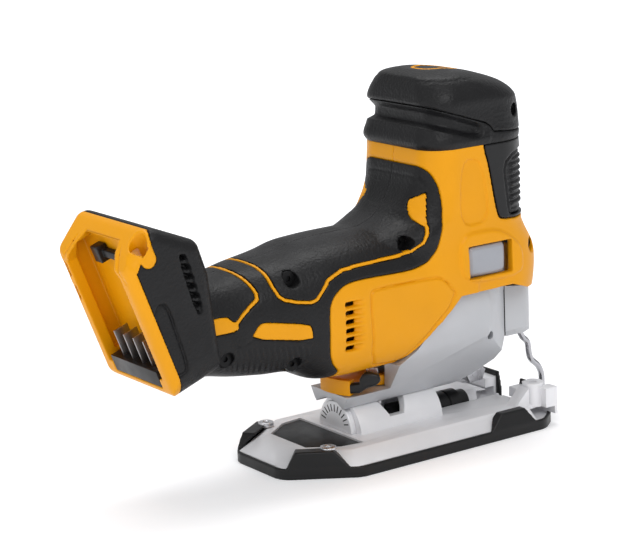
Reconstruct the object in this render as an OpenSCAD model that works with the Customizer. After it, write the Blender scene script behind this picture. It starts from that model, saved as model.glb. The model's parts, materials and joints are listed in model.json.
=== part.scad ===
// Cordless jigsaw with a barrel grip, shown without its battery.
// +X points the way it cuts, +Y is its left side, +Z is up, and the sole lies on z = 0.

/* [Shoe] */
// Length of the shoe along the cut
shoe_len = 147; // [143:1:150]
// Width of the shoe
shoe_w = 78; // [76:1:80]
// Height of the shoe's flat top
plate_top = 10.6; // [10.2:0.1:11]
// Height of the axis that the shoe tilts about
bevel_z = 9; // [8.8:0.1:9.2]
// Outer radius of the round ridge that carries the tool
tunnel_r = 16.5; // [16.3:0.1:16.6]
// Half width of the blade slot
slot_hw = 7; // [6.8:0.1:7.5]

/* [Head and barrel] */
// Half width of the head and the motor barrel
body_hw = 30; // [29.5:0.1:30.5]
// Wall of the moulded shells
wall = 2.6; // [2.4:0.1:2.8]
// Thickness of the rubber overmould
grip_t = 1.6; // [1.4:0.1:1.8]

/* [Drive] */
// X of the blade and of the plunger
blade_x = 54.5; // [54.2:0.1:54.8]
// Length of the plunger's stroke
stroke = 26; // [24:1:26]
// Module of the gear teeth
gear_mod = 0.7; // [0.7:0.01:0.71]
// Teeth of the motor pinion
pinion_teeth = 9; // [9:1:9]
// Teeth of the drive gear
gear_teeth = 54; // [54:1:54]
// Height of the drive gear's centre
gear_z = 94.05; // [94:0.05:94.2]

/* [Battery foot] */
// Lean of the battery face, from upright
foot_lean = 20; // [19:0.5:21]
// Half width of the foot
foot_hw = 31; // [30.5:0.1:31.5]

/* [Hidden] */
$fn = 48;

// working clearances
gap = 0.3;      // between pieces that move past each other
fit = 0.04;     // radial clearance of a running fit
seat = 0.02;    // radial clearance of a piece seated in a bore
eps = 0.05;     // hairline between moulded skins

// drive train, all on shafts along X at y = 0
pinion_r = gear_mod * pinion_teeth / 2;
gear_r = gear_mod * gear_teeth / 2;
motor_z = gear_z - pinion_r - gear_r;
crank_r = stroke / 2;
crank_z = gear_z + crank_r;
shaft_r = 2.5;
bearing_r = 8;
gear_x0 = 20;
gear_x1 = 28;
yoke_x0 = 43.2;
yoke_x1 = 48.6;

// plunger group, drawn at the top of its stroke
plunger_r = 4;
clamp_z0 = 28.5 + stroke;
clamp_z1 = clamp_z0 + 8;
plunger_top = 124 + stroke;
bush_r = 5.6;
low_bush_z = [67, 74];
top_bush_z = [116, 124];

// roller group
roller_r = 4.5;
roller_x = blade_x - 4 - roller_r;
roller_z = 23;
fork_pivot = [42, 46];

// switch, in a window on each side of the head
switch_x = [26.4, 47.3];
switch_z = [76.6, 90.8];
switch_travel = 3;

// blade release lever on the front of the head
lever_z = [101, 130.7];
lever_t = 3;
lever_pivot = [65.2, 128.6];
front_c = [47, 8];
front_r = 22;

// bevel clamp
bolt_x = -6;
bolt_r = 3;
barrel_r = 7;
saddle_r = tunnel_r + gap;

// side outlines, in x and z
grip_zone = [
  [-125, 30], [-46, 30], [-43, 44.6], [-49, 47.5], [-51.5, 54], [-51.5, 78], [-47, 83.5], [-38, 85],
  [-4, 85.3], [5, 88.5], [10.6, 95], [12, 104], [12, 119], [8.5, 127], [2, 131.5], [-30, 134], [-125, 140]
];
gear_line = [[-9, 41], [21.3, 68.8], [52, 69.3], [62, 65.8], [82, 63.6]];

// slot for the fence bar
fence_x = [58, 70.4];
fence_z = [4.2, 8.8];

// screws through the shells, in x and z
screw_at = [[-66, 90.5], [-66, 52.5], [-6, 97], [-100, 61], [66.8, 85]];

// ---------------------------------------------------------------- outlines and envelopes

function arc(cx, cy, r, a0, a1, n) =
  [for (i = [0:n]) [cx + r * cos(a0 + (a1 - a0) * i / n), cy + r * sin(a0 + (a1 - a0) * i / n)]];

// rounded plan of the head between a rear and a front x
function plan(xr, xf, w, rr, rf) = concat(
  arc(xf - rf, w - rf, rf, 0, 90, 6), arc(xr + rr, w - rr, rr, 90, 180, 5),
  arc(xr + rr, rr - w, rr, 180, 270, 5), arc(xf - rf, rf - w, rf, 270, 360, 6));

function sgn_pow(v, p) = sign(v) * pow(abs(v), p);

// superellipse of half sizes w and h
function oval(w, h, e, n) =
  [for (i = [0:n - 1]) [w * sgn_pow(cos(360 * i / n), 2 / e), h * sgn_pow(sin(360 * i / n), 2 / e)]];

// head sections: z, rear x, front x, half width, rear corner, front corner
head_levels = [
  [60, -4, 73, 29.4, 20, 21], [70, -6, 75.5, 30, 20, 22], [86, -8, 75, 30, 20, 22],
  [94.5, -14, 70.5, 30, 24, 22], [98, -20, 69, 30, 27, 22], [102, -14, 69, 30, 27, 22],
  [105.5, -6.5, 69, 30, 25, 22], [110.5, -0.5, 69, 30, 21, 22], [117, 4, 69, 30, 18, 22],
  [127, 7, 69, 30, 15, 22], [137, 8.3, 68.2, 30, 14, 22]
];

// barrel sections: x, centre z, half height, half width, exponent
barrel_levels = [
  [-122, 76, 24, 24.5, 2.6], [-104, 73, 22, 24, 2.5], [-92, 71.6, 23, 24.6, 2.5],
  [-78, 71.8, 25, 26.2, 2.6], [-60, 72, 27.2, 28.6, 2.8], [-51, 70.8, 30.4, 29.7, 2.9],
  [-40, 70.6, 31.4, 30, 3], [-20, 70.8, 31.7, 30, 3], [2, 71, 31.6, 30, 3], [30, 71.5, 31, 30, 3]
];

// level ring of a head section, and upright ring of a barrel section, pulled in by o
function head_ring(s, o) =
  [for (p = plan(s[1] + o, s[2] - o, s[3] - o, max(s[4] - o, 2), max(s[5] - o, 2))) [p[0], p[1], s[0]]];

function barrel_ring(s, o) = [for (p = oval(s[3] - o, s[2] - o, s[4], 36)) [s[0], p[0], s[1] + p[1]]];

// convex body between two rings
module span(a, b) {
  hull()
    polyhedron(
      points = concat(a, b),
      faces = [[for (i = [0:len(a) - 1]) i], [for (i = [0:len(b) - 1]) len(a) + i]]);
}

module head_stack(levels, o) {
  for (i = [0:len(levels) - 2])
    span(head_ring(levels[i], o), head_ring(levels[i + 1], o));
}

// closed outer form of the barrel and the head, pulled in by o
module body_form(o = 0) {
  head_stack(head_levels, o);
  for (i = [0:len(barrel_levels) - 2])
    span(barrel_ring(barrel_levels[i], o), barrel_ring(barrel_levels[i + 1], o));
}

// prism across the body from an outline in x and z
module side_prism(pts, y0 = -60, y1 = 60) {
  translate([0, y1, 0])
    rotate([90, 0, 0])
      linear_extrude(y1 - y0)
        polygon(pts);
}

// everything under the joint between the shells and the gearcase
module below_gear_line(drop = 0) {
  side_prism(concat([for (p = gear_line) [p[0], p[1] - drop]], [[90, 0], [gear_line[0][0], 0]]));
}

module y_cyl(x, z, r, y0, y1) {
  translate([x, y1, z])
    rotate([90, 0, 0])
      cylinder(r = r, h = y1 - y0);
}

module x_cyl(x0, x1, y, z, r) {
  translate([x0, y, z])
    rotate([0, 90, 0])
      cylinder(r = r, h = x1 - x0);
}

module z_cyl(x, y, z0, z1, r) {
  translate([x, y, z0])
    cylinder(r = r, h = z1 - z0);
}

module block(a, b) {
  translate(a)
    cube(b - a);
}

// exact plan of the head's front, pulled in by o
module front_plan(o) {
  for (s = [-1, 1])
    translate([front_c[0], s * front_c[1]])
      circle(r = front_r - o, $fn = 96);
  translate([20, -front_c[1]])
    square([front_c[0] - 20 + front_r - o, 2 * front_c[1]]);
  translate([20, o - body_hw])
    square([front_c[0] - 20, 2 * (body_hw - o)]);
}

// ---------------------------------------------------------------- shells and grips

// opening that the black front trim fills, seen from the side
module bezel_zone(o = 0) {
  side_prism([[38 - o, 137], [42.5 - o, 97 - o], [90, 97 - o], [90, 137]]);
}

// windows and cut-outs shared by both shells
module shell_cuts() {
  below_gear_line();
  bezel_zone();
  block([switch_x[0] - 1, -40, switch_z[0] - 0.5], [switch_x[1] + switch_travel + 0.4, 40, switch_z[1] + 0.5]);
  for (i = [0:5])
    block([-43, -40, 55 + 4 * i], [-37, 40, 57.2 + 4 * i]);
  foot_form(-eps);
}

// one shell, made as the right half and mirrored for the left
module shell_half(side) {
  mirror([0, side > 0 ? 1 : 0, 0])
    difference() {
      body_form(0);
      difference() {
        side_prism(grip_zone);
        body_form(grip_t + eps);
      }
      difference() {
        body_form(wall + grip_t);
        for (p = screw_at)
          y_cyl(p[0], p[1], 4.6, -40, -1, $fn = 24);
      }
      shell_cuts();
      for (p = screw_at)
        if (side < 0) {
          y_cyl(p[0], p[1], 2.1, -18.1, 12, $fn = 24);
          y_cyl(p[0], p[1], 3.7, -40, -18, $fn = 24);
        } else {
          y_cyl(p[0], p[1], 1.75, -12, 2, $fn = 24);
        }
      block([-200, 0, 0], [200, 80, 200]);
      if (side > 0)
        y_cyl(-12, 66, 10.4, -40, 0);
    }
}

module grip_half(side) {
  mirror([0, side > 0 ? 1 : 0, 0])
    difference() {
      intersection() {
        body_form(0);
        side_prism(grip_zone);
        block([-200, -80, 0], [200, 0, 200]);
      }
      body_form(grip_t);
      shell_cuts();
      if (side < 0)
        for (p = screw_at)
          y_cyl(p[0], p[1], 3.7, -40, 0, $fn = 24);
    }
}

module housing_right() {
  color("gold")
    shell_half(-1);
}

module housing_left() {
  color("gold")
    shell_half(1);
}

module grip_right() {
  color("#26272b")
    grip_half(-1);
}

module grip_left() {
  color("#26272b")
    grip_half(1);
}

// cap sections: z, rear x, front x, half width, rear corner, front corner
cap_levels = [
  [153, 12, 67.5, 29, 14, 21], [156, 9.6, 66, 30, 14, 21], [160, 9.8, 62, 29, 14, 21],
  [165, 11.2, 51, 26, 14, 19], [168.4, 13.2, 36, 20, 11, 13], [170.2, 17, 26, 10, 4, 4]
];

module cap_form(o = 0) {
  head_stack(cap_levels, o);
}

module head_cap() {
  color("#1d1e21")
    difference() {
      cap_form(0);
      translate([0, 0, -0.01])
        intersection() {
          cap_form(wall + 1);
          block([0, -40, 150], [80, 40, 164]);
        }
    }
}

// screws from each side through the collar's front corners
cap_screw = [58, 149.6];

module cap_screws() {
  color("#3a3b3e")
    for (side = [0, 1])
      mirror([0, side, 0]) {
        y_cyl(cap_screw[0], cap_screw[1], 1.5, -21.45, -14);
        difference() {
          y_cyl(cap_screw[0], cap_screw[1], 2.6, -23.4, -21.42);
          y_cyl(cap_screw[0], cap_screw[1], 1.2, -25, -22.4, $fn = 6);
        }
      }
}

// ring sections: z, rear x, front x, half width, rear corner, front corner
ring_levels = [
  [137.05, 8.3, 68.2, 30, 14, 22], [140, 7.6, 68.4, 30.3, 14, 22], [145, 9, 68.4, 29.6, 14, 22],
  [147.4, 12.6, 68.2, 27.2, 13, 21], [152.9, 12.6, 67.5, 27.2, 13, 21]
];

module grip_ring() {
  color("#1d1e21")
    difference() {
      head_stack(ring_levels, 0);
      translate([0, 0, 130])
        linear_extrude(30)
          polygon(plan(17, 63, 23, 9, 16));
      for (side = [0, 1])
        mirror([0, side, 0]) {
          y_cyl(cap_screw[0], cap_screw[1], 2.9, -40, -21.4);
          y_cyl(cap_screw[0], cap_screw[1], 1.5 + seat, -22, -10);
        }
    }
}

module bezel_side(o) {
  side_prism([[38.4 + o, 136.6 - o], [42.8 + o, 97.3 + o], [90, 97.3 + o], [90, 136.6 - o]]);
}

// opening in the trim that the release lever closes
module lever_opening() {
  side_prism([
    [47.5, lever_z[1] + 2], [53, lever_z[0] - 2.3], [90, lever_z[0] - 2.3], [90, lever_z[1] + 2]
  ]);
}

module front_bezel() {
  color("#1d1e21")
    difference() {
      intersection() {
        linear_extrude(160)
          front_plan(0.1);
        bezel_side(0);
      }
      difference() {
        translate([0, 0, 90])
          linear_extrude(60)
            front_plan(6.4);
        for (s = [-1, 1])
          block([60, s * 15 - 1.5, 125], [67, s * 15 + 1.5, 133]);
      }
      difference() {
        lever_opening();
        translate([0, 0, 90])
          linear_extrude(60)
            front_plan(4.6);
      }
      y_cyl(lever_pivot[0], lever_pivot[1], 2.6, -13.3, 13.3);
      y_cyl(lever_pivot[0], lever_pivot[1], 1.5 + seat, -40, 40);
    }
}

module lever_pin() {
  color("silver")
    y_cyl(lever_pivot[0], lever_pivot[1], 1.5, -16.4, 16.4);
}

module blade_lever() {
  rib_pitch = 2.9;
  color("#26272b")
    difference() {
      union() {
        intersection() {
          translate([0, 0, lever_z[0]])
            linear_extrude(lever_z[1] - lever_z[0])
              difference() {
                front_plan(0.5);
                front_plan(0.5 + lever_t);
              }
          side_prism([[49, lever_z[1]], [53.8, lever_z[0]], [90, lever_z[0]], [90, lever_z[1]]]);
        }
        intersection() {
          for (i = [0:8])
            translate([0, 0, 103.2 + rib_pitch * i])
              linear_extrude(1.5)
                difference() {
                  front_plan(-0.1);
                  front_plan(1);
                }
          side_prism([[53, 129], [56, 102], [90, 102], [90, 129]]);
        }
        y_cyl(lever_pivot[0], lever_pivot[1], 2.3, -13, 13);
      }
      y_cyl(lever_pivot[0], lever_pivot[1], 1.5 + fit, -40, 40);
    }
}

// ---------------------------------------------------------------- battery foot

// corners of the foot seen from the side, inset by their own rounding
foot_points = [
  [-125.5, 56.5], [-144.8, 109], [-137, 119], [-120, 112], [-116.5, 101], [-112.5, 63], [-117, 59]
];
foot_round = 6;

module foot_form(o = 0) {
  hull()
    for (p = foot_points)
      for (s = [-1, 1])
        translate([p[0], s * (foot_hw - foot_round), p[1]])
          sphere(r = foot_round - o, $fn = 24);
}

// space measured from the battery face: depth forward, across, and up along it
module from_face(a, b) {
  translate([-130.4, 0, 50])
    rotate([0, -foot_lean, 0])
      block(a, b);
}

module receptacle_cavity() {
  from_face([-20, -21, 12], [6, 21, 100]);
  from_face([5.9, -25.5, 12], [13.5, 25.5, 66]);
  from_face([-20, -25.5, 64], [13.5, 25.5, 67.5]);
}

module battery_receptacle() {
  color("gold")
    difference() {
      union() {
        intersection() {
          foot_form(0);
          from_face([-20, -40, -20], [4.6, 40, 100]);
        }
        intersection() {
          foot_form(3);
          from_face([4.5, -40, -20], [16, 40, 100]);
        }
      }
      receptacle_cavity();
      from_face([0.5, -14.6, 12.4], [17, 14.6, 13]);
      from_face([-2, -19.4, 4], [17, 19.4, 12.1]);
    }
}

module foot_shell() {
  color("#26272b")
    difference() {
      foot_form(0);
      from_face([-20, -40, -20], [4.6 + eps, 40, 100]);
      intersection() {
        foot_form(3 - eps);
        from_face([0, -40, -20], [16 + eps, 40, 100]);
      }
      intersection() {
        foot_form(3);
        from_face([0, -40, -20], [25, 40, 100]);
      }
      body_form(wall + grip_t);
      for (i = [0:4])
        translate([-113, -40, 76 + 6.5 * i])
          rotate([0, -12, 0])
            cube([6, 80, 3.4]);
    }
}

module terminal_block() {
  color("#26272b")
    difference() {
      from_face([1, -19, 4.4], [13, 19, 11.9]);
      for (y = [-12, -4, 4, 12])
        from_face([3.4, y - 0.42, 3], [11, y + 0.42, 13]);
    }
}

module terminal_blades() {
  color("silver")
    for (y = [-12, -4, 4, 12])
      from_face([3.6, y - 0.4, 6], [10.8, y + 0.4, 24]);
}

module latch_strip() {
  color("silver")
    union() {
      from_face([10.4, -9, 58], [13.3, 16, 61.5]);
      from_face([8.4, 6, 56], [13.3, 12, 63.5]);
    }
}

// ---------------------------------------------------------------- gearcase and front

// lower casting seen from the side
gearcase_side = [
  [-33, 20], [-33, 28.6], [-9, 28.6], [-8.6, 40.5], [21.1, 68.4], [51.5, 68.9], [56.4, 67.2],
  [56.4, 41], [50.5, 31.5], [39, 25], [19.5, 20]
];

module gearcase_front_profile() {
  translate([-40, 0, 0])
    rotate([90, 0, 90])
      linear_extrude(120)
        polygon([[-26, 70], [-26, 47.5], [-11.4, 23.6], [-5.8, 18], [5.8, 18], [11.4, 23.6], [26, 47.5], [26, 70]]);
}

module tower_plan(o) {
  polygon([
    [8 + o, 22 - o], [50, 22 - o], [58 - o, 16 - o], [62 - o, 7], [62 - o, -7], [58 - o, o - 16],
    [50, o - 22], [8 + o, o - 22]
  ]);
}

module gearcase() {
  color("#b9bcc0")
    difference() {
      union() {
        intersection() {
          side_prism(gearcase_side);
          gearcase_front_profile();
          linear_extrude(90)
            polygon([[-34, -26], [40, -26], [56.4, -17], [56.4, 17], [40, 26], [-34, 26]]);
        }
        translate([0, 0, 64])
          linear_extrude(68)
            tower_plan(0);
      }
      // step over the front cover, and the narrower top of the tower
      block([56.4, -30, 60], [65, 30, 65.6]);
      block([0, -30, 102], [15, 30, 140]);
      // room for the gears and the yoke
      block([50, -5.2, 74], [60.6, 5.2, 114]);
      difference() {
        translate([0, 0, 67])
          linear_extrude(62)
            tower_plan(2);
        block([0, -30, 100], [17, 30, 140]);
        z_cyl(blade_x, 0, 60, low_bush_z[1], 8);
        z_cyl(blade_x, 0, top_bush_z[0], 140, 8);
        x_cyl(9, 19, 0, gear_z, 7);
        x_cyl(9, 14, 0, motor_z, 10.5);
      }
      // room for the clamp and the roller fork
      block([37, -12, 18], [53, 12, 65.5]);
      z_cyl(blade_x, 0, 18, 66.6, 8);
      block([blade_x - 2, -12, 18], [58, 12, 46]);
      // weight saving pocket
      block([2, -20, 50], [33, 20, 64]);
      side_prism([[-12, 42], [-12, 90], [33, 90], [33, 66], [18, 64], [-2, 46]], -20, 20);
      // pocket round the bevel lever's hub
      z_cyl(bolt_x, 0, 28.6, 41, 10.5);
      // saddle on the shoe
      x_cyl(-50, 40, 0, bevel_z, saddle_r);
      // seats
      z_cyl(blade_x, 0, 60, 140, plunger_r + 0.6);
      z_cyl(blade_x, 0, low_bush_z[0], low_bush_z[1] + 1, bush_r + seat);
      z_cyl(blade_x, 0, top_bush_z[0] - 1, top_bush_z[1], bush_r + seat);
      x_cyl(7, 15, 0, motor_z, bearing_r + seat);
      x_cyl(7, 20, 0, gear_z, 4 + seat);
      y_cyl(fork_pivot[0], fork_pivot[1], 2 + seat, -40, 40);
      z_cyl(bolt_x, 0, 20, 40, bolt_r + seat);
      y_cyl(20, 48, 5.5 + fit, 20, 40);
      y_cyl(20, 48, 3 + fit, 10, 40);
      for (y = [-11, 11])
        for (z = [46, 63])
          x_cyl(50, 60, y, z, 1.6 + seat);
    }
}

module cover_plan(x0, x1, hw, r) {
  translate([x0, -hw])
    square([x1 - x0 - r, 2 * hw]);
  translate([x0, r - hw])
    square([x1 - x0, 2 * (hw - r)]);
  for (s = [-1, 1])
    translate([x1 - r, s * (hw - r)])
      circle(r = r);
}

// two strips, one on each side of the plunger
module front_gasket() {
  color("#202124")
    difference() {
      translate([56.5, -16.4, 41.4])
        cube([1.1, 32.8, 24]);
      for (y = [-11, 11])
        for (z = [46, 63])
          x_cyl(50, 60, y, z, 1.8);
      block([50, -8, 30], [60, 8, 70]);
    }
}

module front_cover() {
  color("#c9cbce")
    difference() {
      intersection() {
        translate([0, 0, 38])
          linear_extrude(30)
            cover_plan(57.7, 76.5, 16, 7.5);
        side_prism([[57, 42], [61, 39.6], [72, 39.6], [77, 44], [77, 60], [75, 62.8], [57, 65.2]]);
        translate([50, 0, 0])
          rotate([90, 0, 90])
            linear_extrude(40)
              polygon([[-16.5, 70], [-16.5, 43.6], [-12.5, 39.6], [12.5, 39.6], [16.5, 43.6], [16.5, 70]]);
      }
      block([57, -8.2, 43], [70, 8.2, 60]);
      block([57, -8.2, 30], [61.8, 8.2, 63]);
      z_cyl(blade_x, 0, 60, 70, plunger_r + 0.6);
      for (y = [-11, 11])
        for (z = [46, 63]) {
          x_cyl(50, 90, y, z, 1.6 + seat);
          x_cyl(66, 90, y, z, 3.2);
        }
      z_cyl(66, 0, 30, 45, 3 + seat);
      z_cyl(74, -6, 30, 48, 1.5 + seat);
    }
}

module cover_screws() {
  color("silver")
    for (y = [-11, 11])
      for (z = [46, 63]) {
        x_cyl(51, 66, y, z, 1.6);
        difference() {
          x_cyl(66, 68.4, y, z, 3);
          x_cyl(67, 69, y, z, 1.3, $fn = 6);
        }
      }
}

module led_lens() {
  color("#e8ecef")
    z_cyl(66, 0, 39.4, 43, 3);
}

// bends of the guard wire in x and z
guard_bends = [[74, 46], [74.6, 38], [79.5, 32.5], [80.5, 25], [86, 19], [88, 14.5], [88, 8.5]];

// point at t from 0 to 1 on a curve that leaves a towards b and arrives at c
function bend(a, b, c, t) = (1 - t) * (1 - t) * a + 2 * t * (1 - t) * b + t * t * c;

// the wire's centre line: each corner rounded between the middles of its two sides
guard_line = concat(
  [guard_bends[0]],
  [for (i = [1:len(guard_bends) - 2], t = [0.1:0.2:0.9])
    bend((guard_bends[i - 1] + guard_bends[i]) / 2, guard_bends[i], (guard_bends[i] + guard_bends[i + 1]) / 2, t)],
  [guard_bends[len(guard_bends) - 1]]);

module finger_guard() {
  color("#dfe2e5")
    for (i = [0:len(guard_line) - 2])
      hull()
        for (p = [guard_line[i], guard_line[i + 1]])
          translate([p[0], -6, p[1]])
            sphere(r = 1.5, $fn = 12);
}

// ---------------------------------------------------------------- fasteners of the shells

module housing_screws() {
  color("#3a3b3e")
    for (p = screw_at) {
      y_cyl(p[0], p[1], 1.7, -18.2, 11.5, $fn = 24);
      difference() {
        y_cyl(p[0], p[1], 3.4, -20.4, -18.05, $fn = 24);
        y_cyl(p[0], p[1], 1.4, -21, -19.4, $fn = 6);
      }
    }
}

// ---------------------------------------------------------------- motor and drive

module motor_stator() {
  color("#8d9094")
    difference() {
      x_cyl(-46, -16, 0, motor_z, 22);
      x_cyl(-47, -15, 0, motor_z, 11.9);
      for (i = [0:5])
        translate([0, 0, motor_z])
          rotate([60 * i, 0, 0])
            translate([-47, 0, 15.6])
              rotate([0, 90, 0])
                cylinder(r = 3.4, h = 32);
    }
}

module stator_windings() {
  color("#b8692e")
    union() {
      for (i = [0:5])
        translate([0, 0, motor_z])
          rotate([60 * i, 0, 0])
            translate([-48, 0, 15.6])
              rotate([0, 90, 0])
                cylinder(r = 3.3, h = 34);
      for (x = [[-50.5, -46.1], [-15.9, -11.5]])
        difference() {
          x_cyl(x[0], x[1], 0, motor_z, 19.6);
          x_cyl(x[0] - 1, x[1] + 1, 0, motor_z, 12.4);
        }
    }
}

module motor_end_bell() {
  color("#2c2d30")
    difference() {
      x_cyl(-60, -51, 0, motor_z, 20.5);
      x_cyl(-57, -50, 0, motor_z, bearing_r + seat);
      x_cyl(-61, -50, 0, motor_z, 4);
      for (i = [0:5])
        translate([0, 0, motor_z])
          rotate([60 * i, 0, 0])
            translate([-61, 0, 14.2])
              rotate([0, 90, 0])
                cylinder(r = 3.6, h = 12);
    }
}

module ball_bearing(x0, x1, z) {
  difference() {
    x_cyl(x0, x1, 0, z, bearing_r);
    x_cyl(x0 - 1, x1 + 1, 0, z, shaft_r + fit);
    for (x = [x0 - 1, x1 - 0.5])
      difference() {
        x_cyl(x, x + 1.5, 0, z, 6.4);
        x_cyl(x - 1, x + 3, 0, z, 4.4);
      }
  }
}

module motor_bearings() {
  color("silver")
    union() {
      ball_bearing(-57, -51.5, motor_z);
      ball_bearing(9, 14, motor_z);
    }
}

module gear_axle() {
  color("silver")
    x_cyl(9, gear_x1 + 0.8, 0, gear_z, 4);
}

module bush(z0, z1) {
  difference() {
    z_cyl(blade_x, 0, z0, z1, bush_r);
    z_cyl(blade_x, 0, z0 - 1, z1 + 1, plunger_r + fit);
  }
}

module plunger_bushes() {
  color("#a9803a")
    union() {
      bush(low_bush_z[0] + 0.1, low_bush_z[1]);
      bush(top_bush_z[0], top_bush_z[1] - 0.1);
    }
}

module switch_module() {
  color("#34363a")
    block([24, -25.5, 93], [38, -22.4, 106]);
}

module control_board() {
  color("#2f6b45")
    union() {
      block([-90, -14, 62], [-88.4, 14, 84]);
      block([-88.4, -10, 66], [-82, -2, 80]);
      block([-88.4, 2, 66], [-84, 10, 74]);
    }
}

module rotor_core() {
  color("#6f7377")
    difference() {
      x_cyl(-45, -17, 0, motor_z, 11.5);
      x_cyl(-46, -16, 0, motor_z, shaft_r + seat);
    }
}

module motor_shaft() {
  color("silver")
    x_cyl(-58.5, gear_x0 - 1, 0, motor_z, shaft_r);
}

module motor_fan() {
  color("#2c2d30")
    difference() {
      union() {
        x_cyl(-9, -7.4, 0, motor_z, 20);
        x_cyl(-9, 0, 0, motor_z, 5);
        for (i = [0:11])
          translate([0, 0, motor_z])
            rotate([30 * i, 0, 0])
              block([-7.5, -0.6, 9], [0, 0.6, 19.4]);
      }
      x_cyl(-10, 1, 0, motor_z, shaft_r + seat);
    }
}

// tooth outline round a pitch circle, with the first tooth or gap centred upward
function tooth_outline(n, m, turn) =
  let (r = n * m / 2, a = 360 / n)
    [for (i = [0:n - 1], k = [0:3])
      let (
        t = turn + a * (i + [-0.27, -0.1, 0.1, 0.27][k]),
        q = [r - 1.2 * m, r + 0.85 * m, r + 0.85 * m, r - 1.2 * m][k]
      )
        [q * sin(t), q * cos(t)]];

module spur_gear(x0, x1, z, n, m, turn) {
  translate([x0, 0, z])
    rotate([90, 0, 90])
      linear_extrude(x1 - x0)
        polygon(tooth_outline(n, m, turn));
}

module pinion() {
  color("silver")
    spur_gear(gear_x0 - 1, gear_x1 + 0.5, motor_z, pinion_teeth, gear_mod, 0);
}

module drive_gear() {
  color("#8d9094")
    difference() {
      spur_gear(gear_x0, gear_x1, gear_z, gear_teeth, gear_mod, 180 / gear_teeth);
      x_cyl(gear_x0 - 1, gear_x1 + 1, 0, gear_z, 4 + fit);
      x_cyl(gear_x1 - 3, gear_x1 + 1, 0, crank_z, 3 + seat);
      for (i = [1:5])
        translate([0, 0, gear_z])
          rotate([60 * i, 0, 0])
            translate([gear_x0 - 1, 0, 11])
              rotate([0, 90, 0])
                cylinder(r = 3, h = i == 3 ? 4 : 12);
    }
}

module crank_pin() {
  color("silver")
    x_cyl(gear_x1 - 3, yoke_x0 - 0.6, 0, crank_z, 3);
}

module counterweight() {
  color("#75787c")
    difference() {
      x_cyl(gear_x1 + 0.02, gear_x1 + 5, 0, gear_z, 17.6);
      block([0, -30, gear_z - 3], [60, 30, 140]);
      x_cyl(20, 40, 0, gear_z, 4.6);
    }
}

module plunger_rod() {
  color("silver")
    z_cyl(blade_x, 0, clamp_z1, plunger_top, plunger_r);
}

module scotch_yoke() {
  color("#8d9094")
    difference() {
      union() {
        block([yoke_x0, -18.6, crank_z - 5.5], [yoke_x1, 18.6, crank_z + 5.5]);
        block([yoke_x1 - 0.1, -4.6, crank_z - 5], [blade_x + 5.6, 4.6, crank_z + 5]);
      }
      hull()
        for (s = [-1, 1])
          x_cyl(yoke_x0 - 1, yoke_x1 - 1.4, s * crank_r, crank_z, 3.15, $fn = 32);
      z_cyl(blade_x, 0, crank_z - 9, crank_z + 9, plunger_r + seat);
    }
}

module blade_clamp() {
  color("#5c5f63")
    difference() {
      union() {
        z_cyl(blade_x, 0, clamp_z0, clamp_z1 - 3, 6.5);
        z_cyl(blade_x, 0, clamp_z1 - 3.1, clamp_z1, 5.2);
      }
      block([blade_x - 4, -0.8, clamp_z0 - 1], [blade_x + 4, 0.8, clamp_z0 + 5]);
      for (i = [0:11])
        rotate_about_plunger(30 * i)
          z_cyl(blade_x + 6.9, 0, clamp_z0 - 1, clamp_z1 - 4, 0.8);
    }
}

module rotate_about_plunger(a) {
  translate([blade_x, 0, 0])
    rotate([0, 0, a])
      translate([-blade_x, 0, 0])
        children();
}

module clamp_barrel() {
  color("#26272b")
    difference() {
      union() {
        x_cyl(-16, 38, 0, bevel_z, barrel_r);
        x_cyl(38, 43.5, 0, bevel_z, 5.6);
      }
      z_cyl(bolt_x, 0, bevel_z - 3, 30, bolt_r + seat);
      x_cyl(40, 50, 0, bevel_z, 2.4, $fn = 6);
      difference() {
        x_cyl(31, 32.2, 0, bevel_z, 9);
        x_cyl(30, 34, 0, bevel_z, barrel_r - 0.7);
      }
    }
}

module clamp_bolt() {
  color("silver")
    z_cyl(bolt_x, 0, bevel_z - 2.9, 37.5, bolt_r);
}

// ---------------------------------------------------------------- roller guide

fork_side = [
  [38.5, 49.5], [45.5, 49.5], [48.8, 42], [48.8, 27.4], [52.5, 24.2], [50.5, 19.4], [43, 19.4],
  [40.6, 25], [38.5, 38]
];

module roller_fork() {
  color("#b9bcc0")
    difference() {
      union() {
        for (s = [-1, 1])
          side_prism(fork_side, s * 6.1 - 0.9, s * 6.1 + 0.9);
        side_prism([[38.5, 49.5], [45.5, 49.5], [45.5, 30], [40.4, 30], [38.5, 38]], -5.3, 5.3);
      }
      y_cyl(fork_pivot[0], fork_pivot[1], 2 + fit, -20, 20);
      y_cyl(roller_x, roller_z, 1.5 + seat, -20, 20);
    }
}

module roller_pin() {
  color("silver")
    y_cyl(roller_x, roller_z, 1.5, -7.2, 7.2);
}

module fork_pin() {
  color("silver")
    y_cyl(fork_pivot[0], fork_pivot[1], 2, -17.5, 17.5);
}

module guide_roller() {
  color("#9a9da1")
    difference() {
      y_cyl(roller_x, roller_z, roller_r, -4.9, 4.9);
      y_cyl(roller_x, roller_z, 1.5 + fit, -6, 6);
      difference() {
        y_cyl(roller_x, roller_z, roller_r + 1, -0.7, 0.7);
        y_cyl(roller_x, roller_z, roller_r - 1.2, -2, 2);
      }
    }
}

// ---------------------------------------------------------------- controls

module switch_bar() {
  color("#2c2d30")
    union() {
      block([1.5, -23.7, 82], [4.5, 23.7, 86]);
      for (s = [-1, 1])
        mirror([0, s > 0 ? 1 : 0, 0]) {
          block([1.5, -23.7, 82], [34, -22.5, 86]);
          block([30, -26.4, 80], [34, -22.5, 88]);
        }
    }
}

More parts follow.
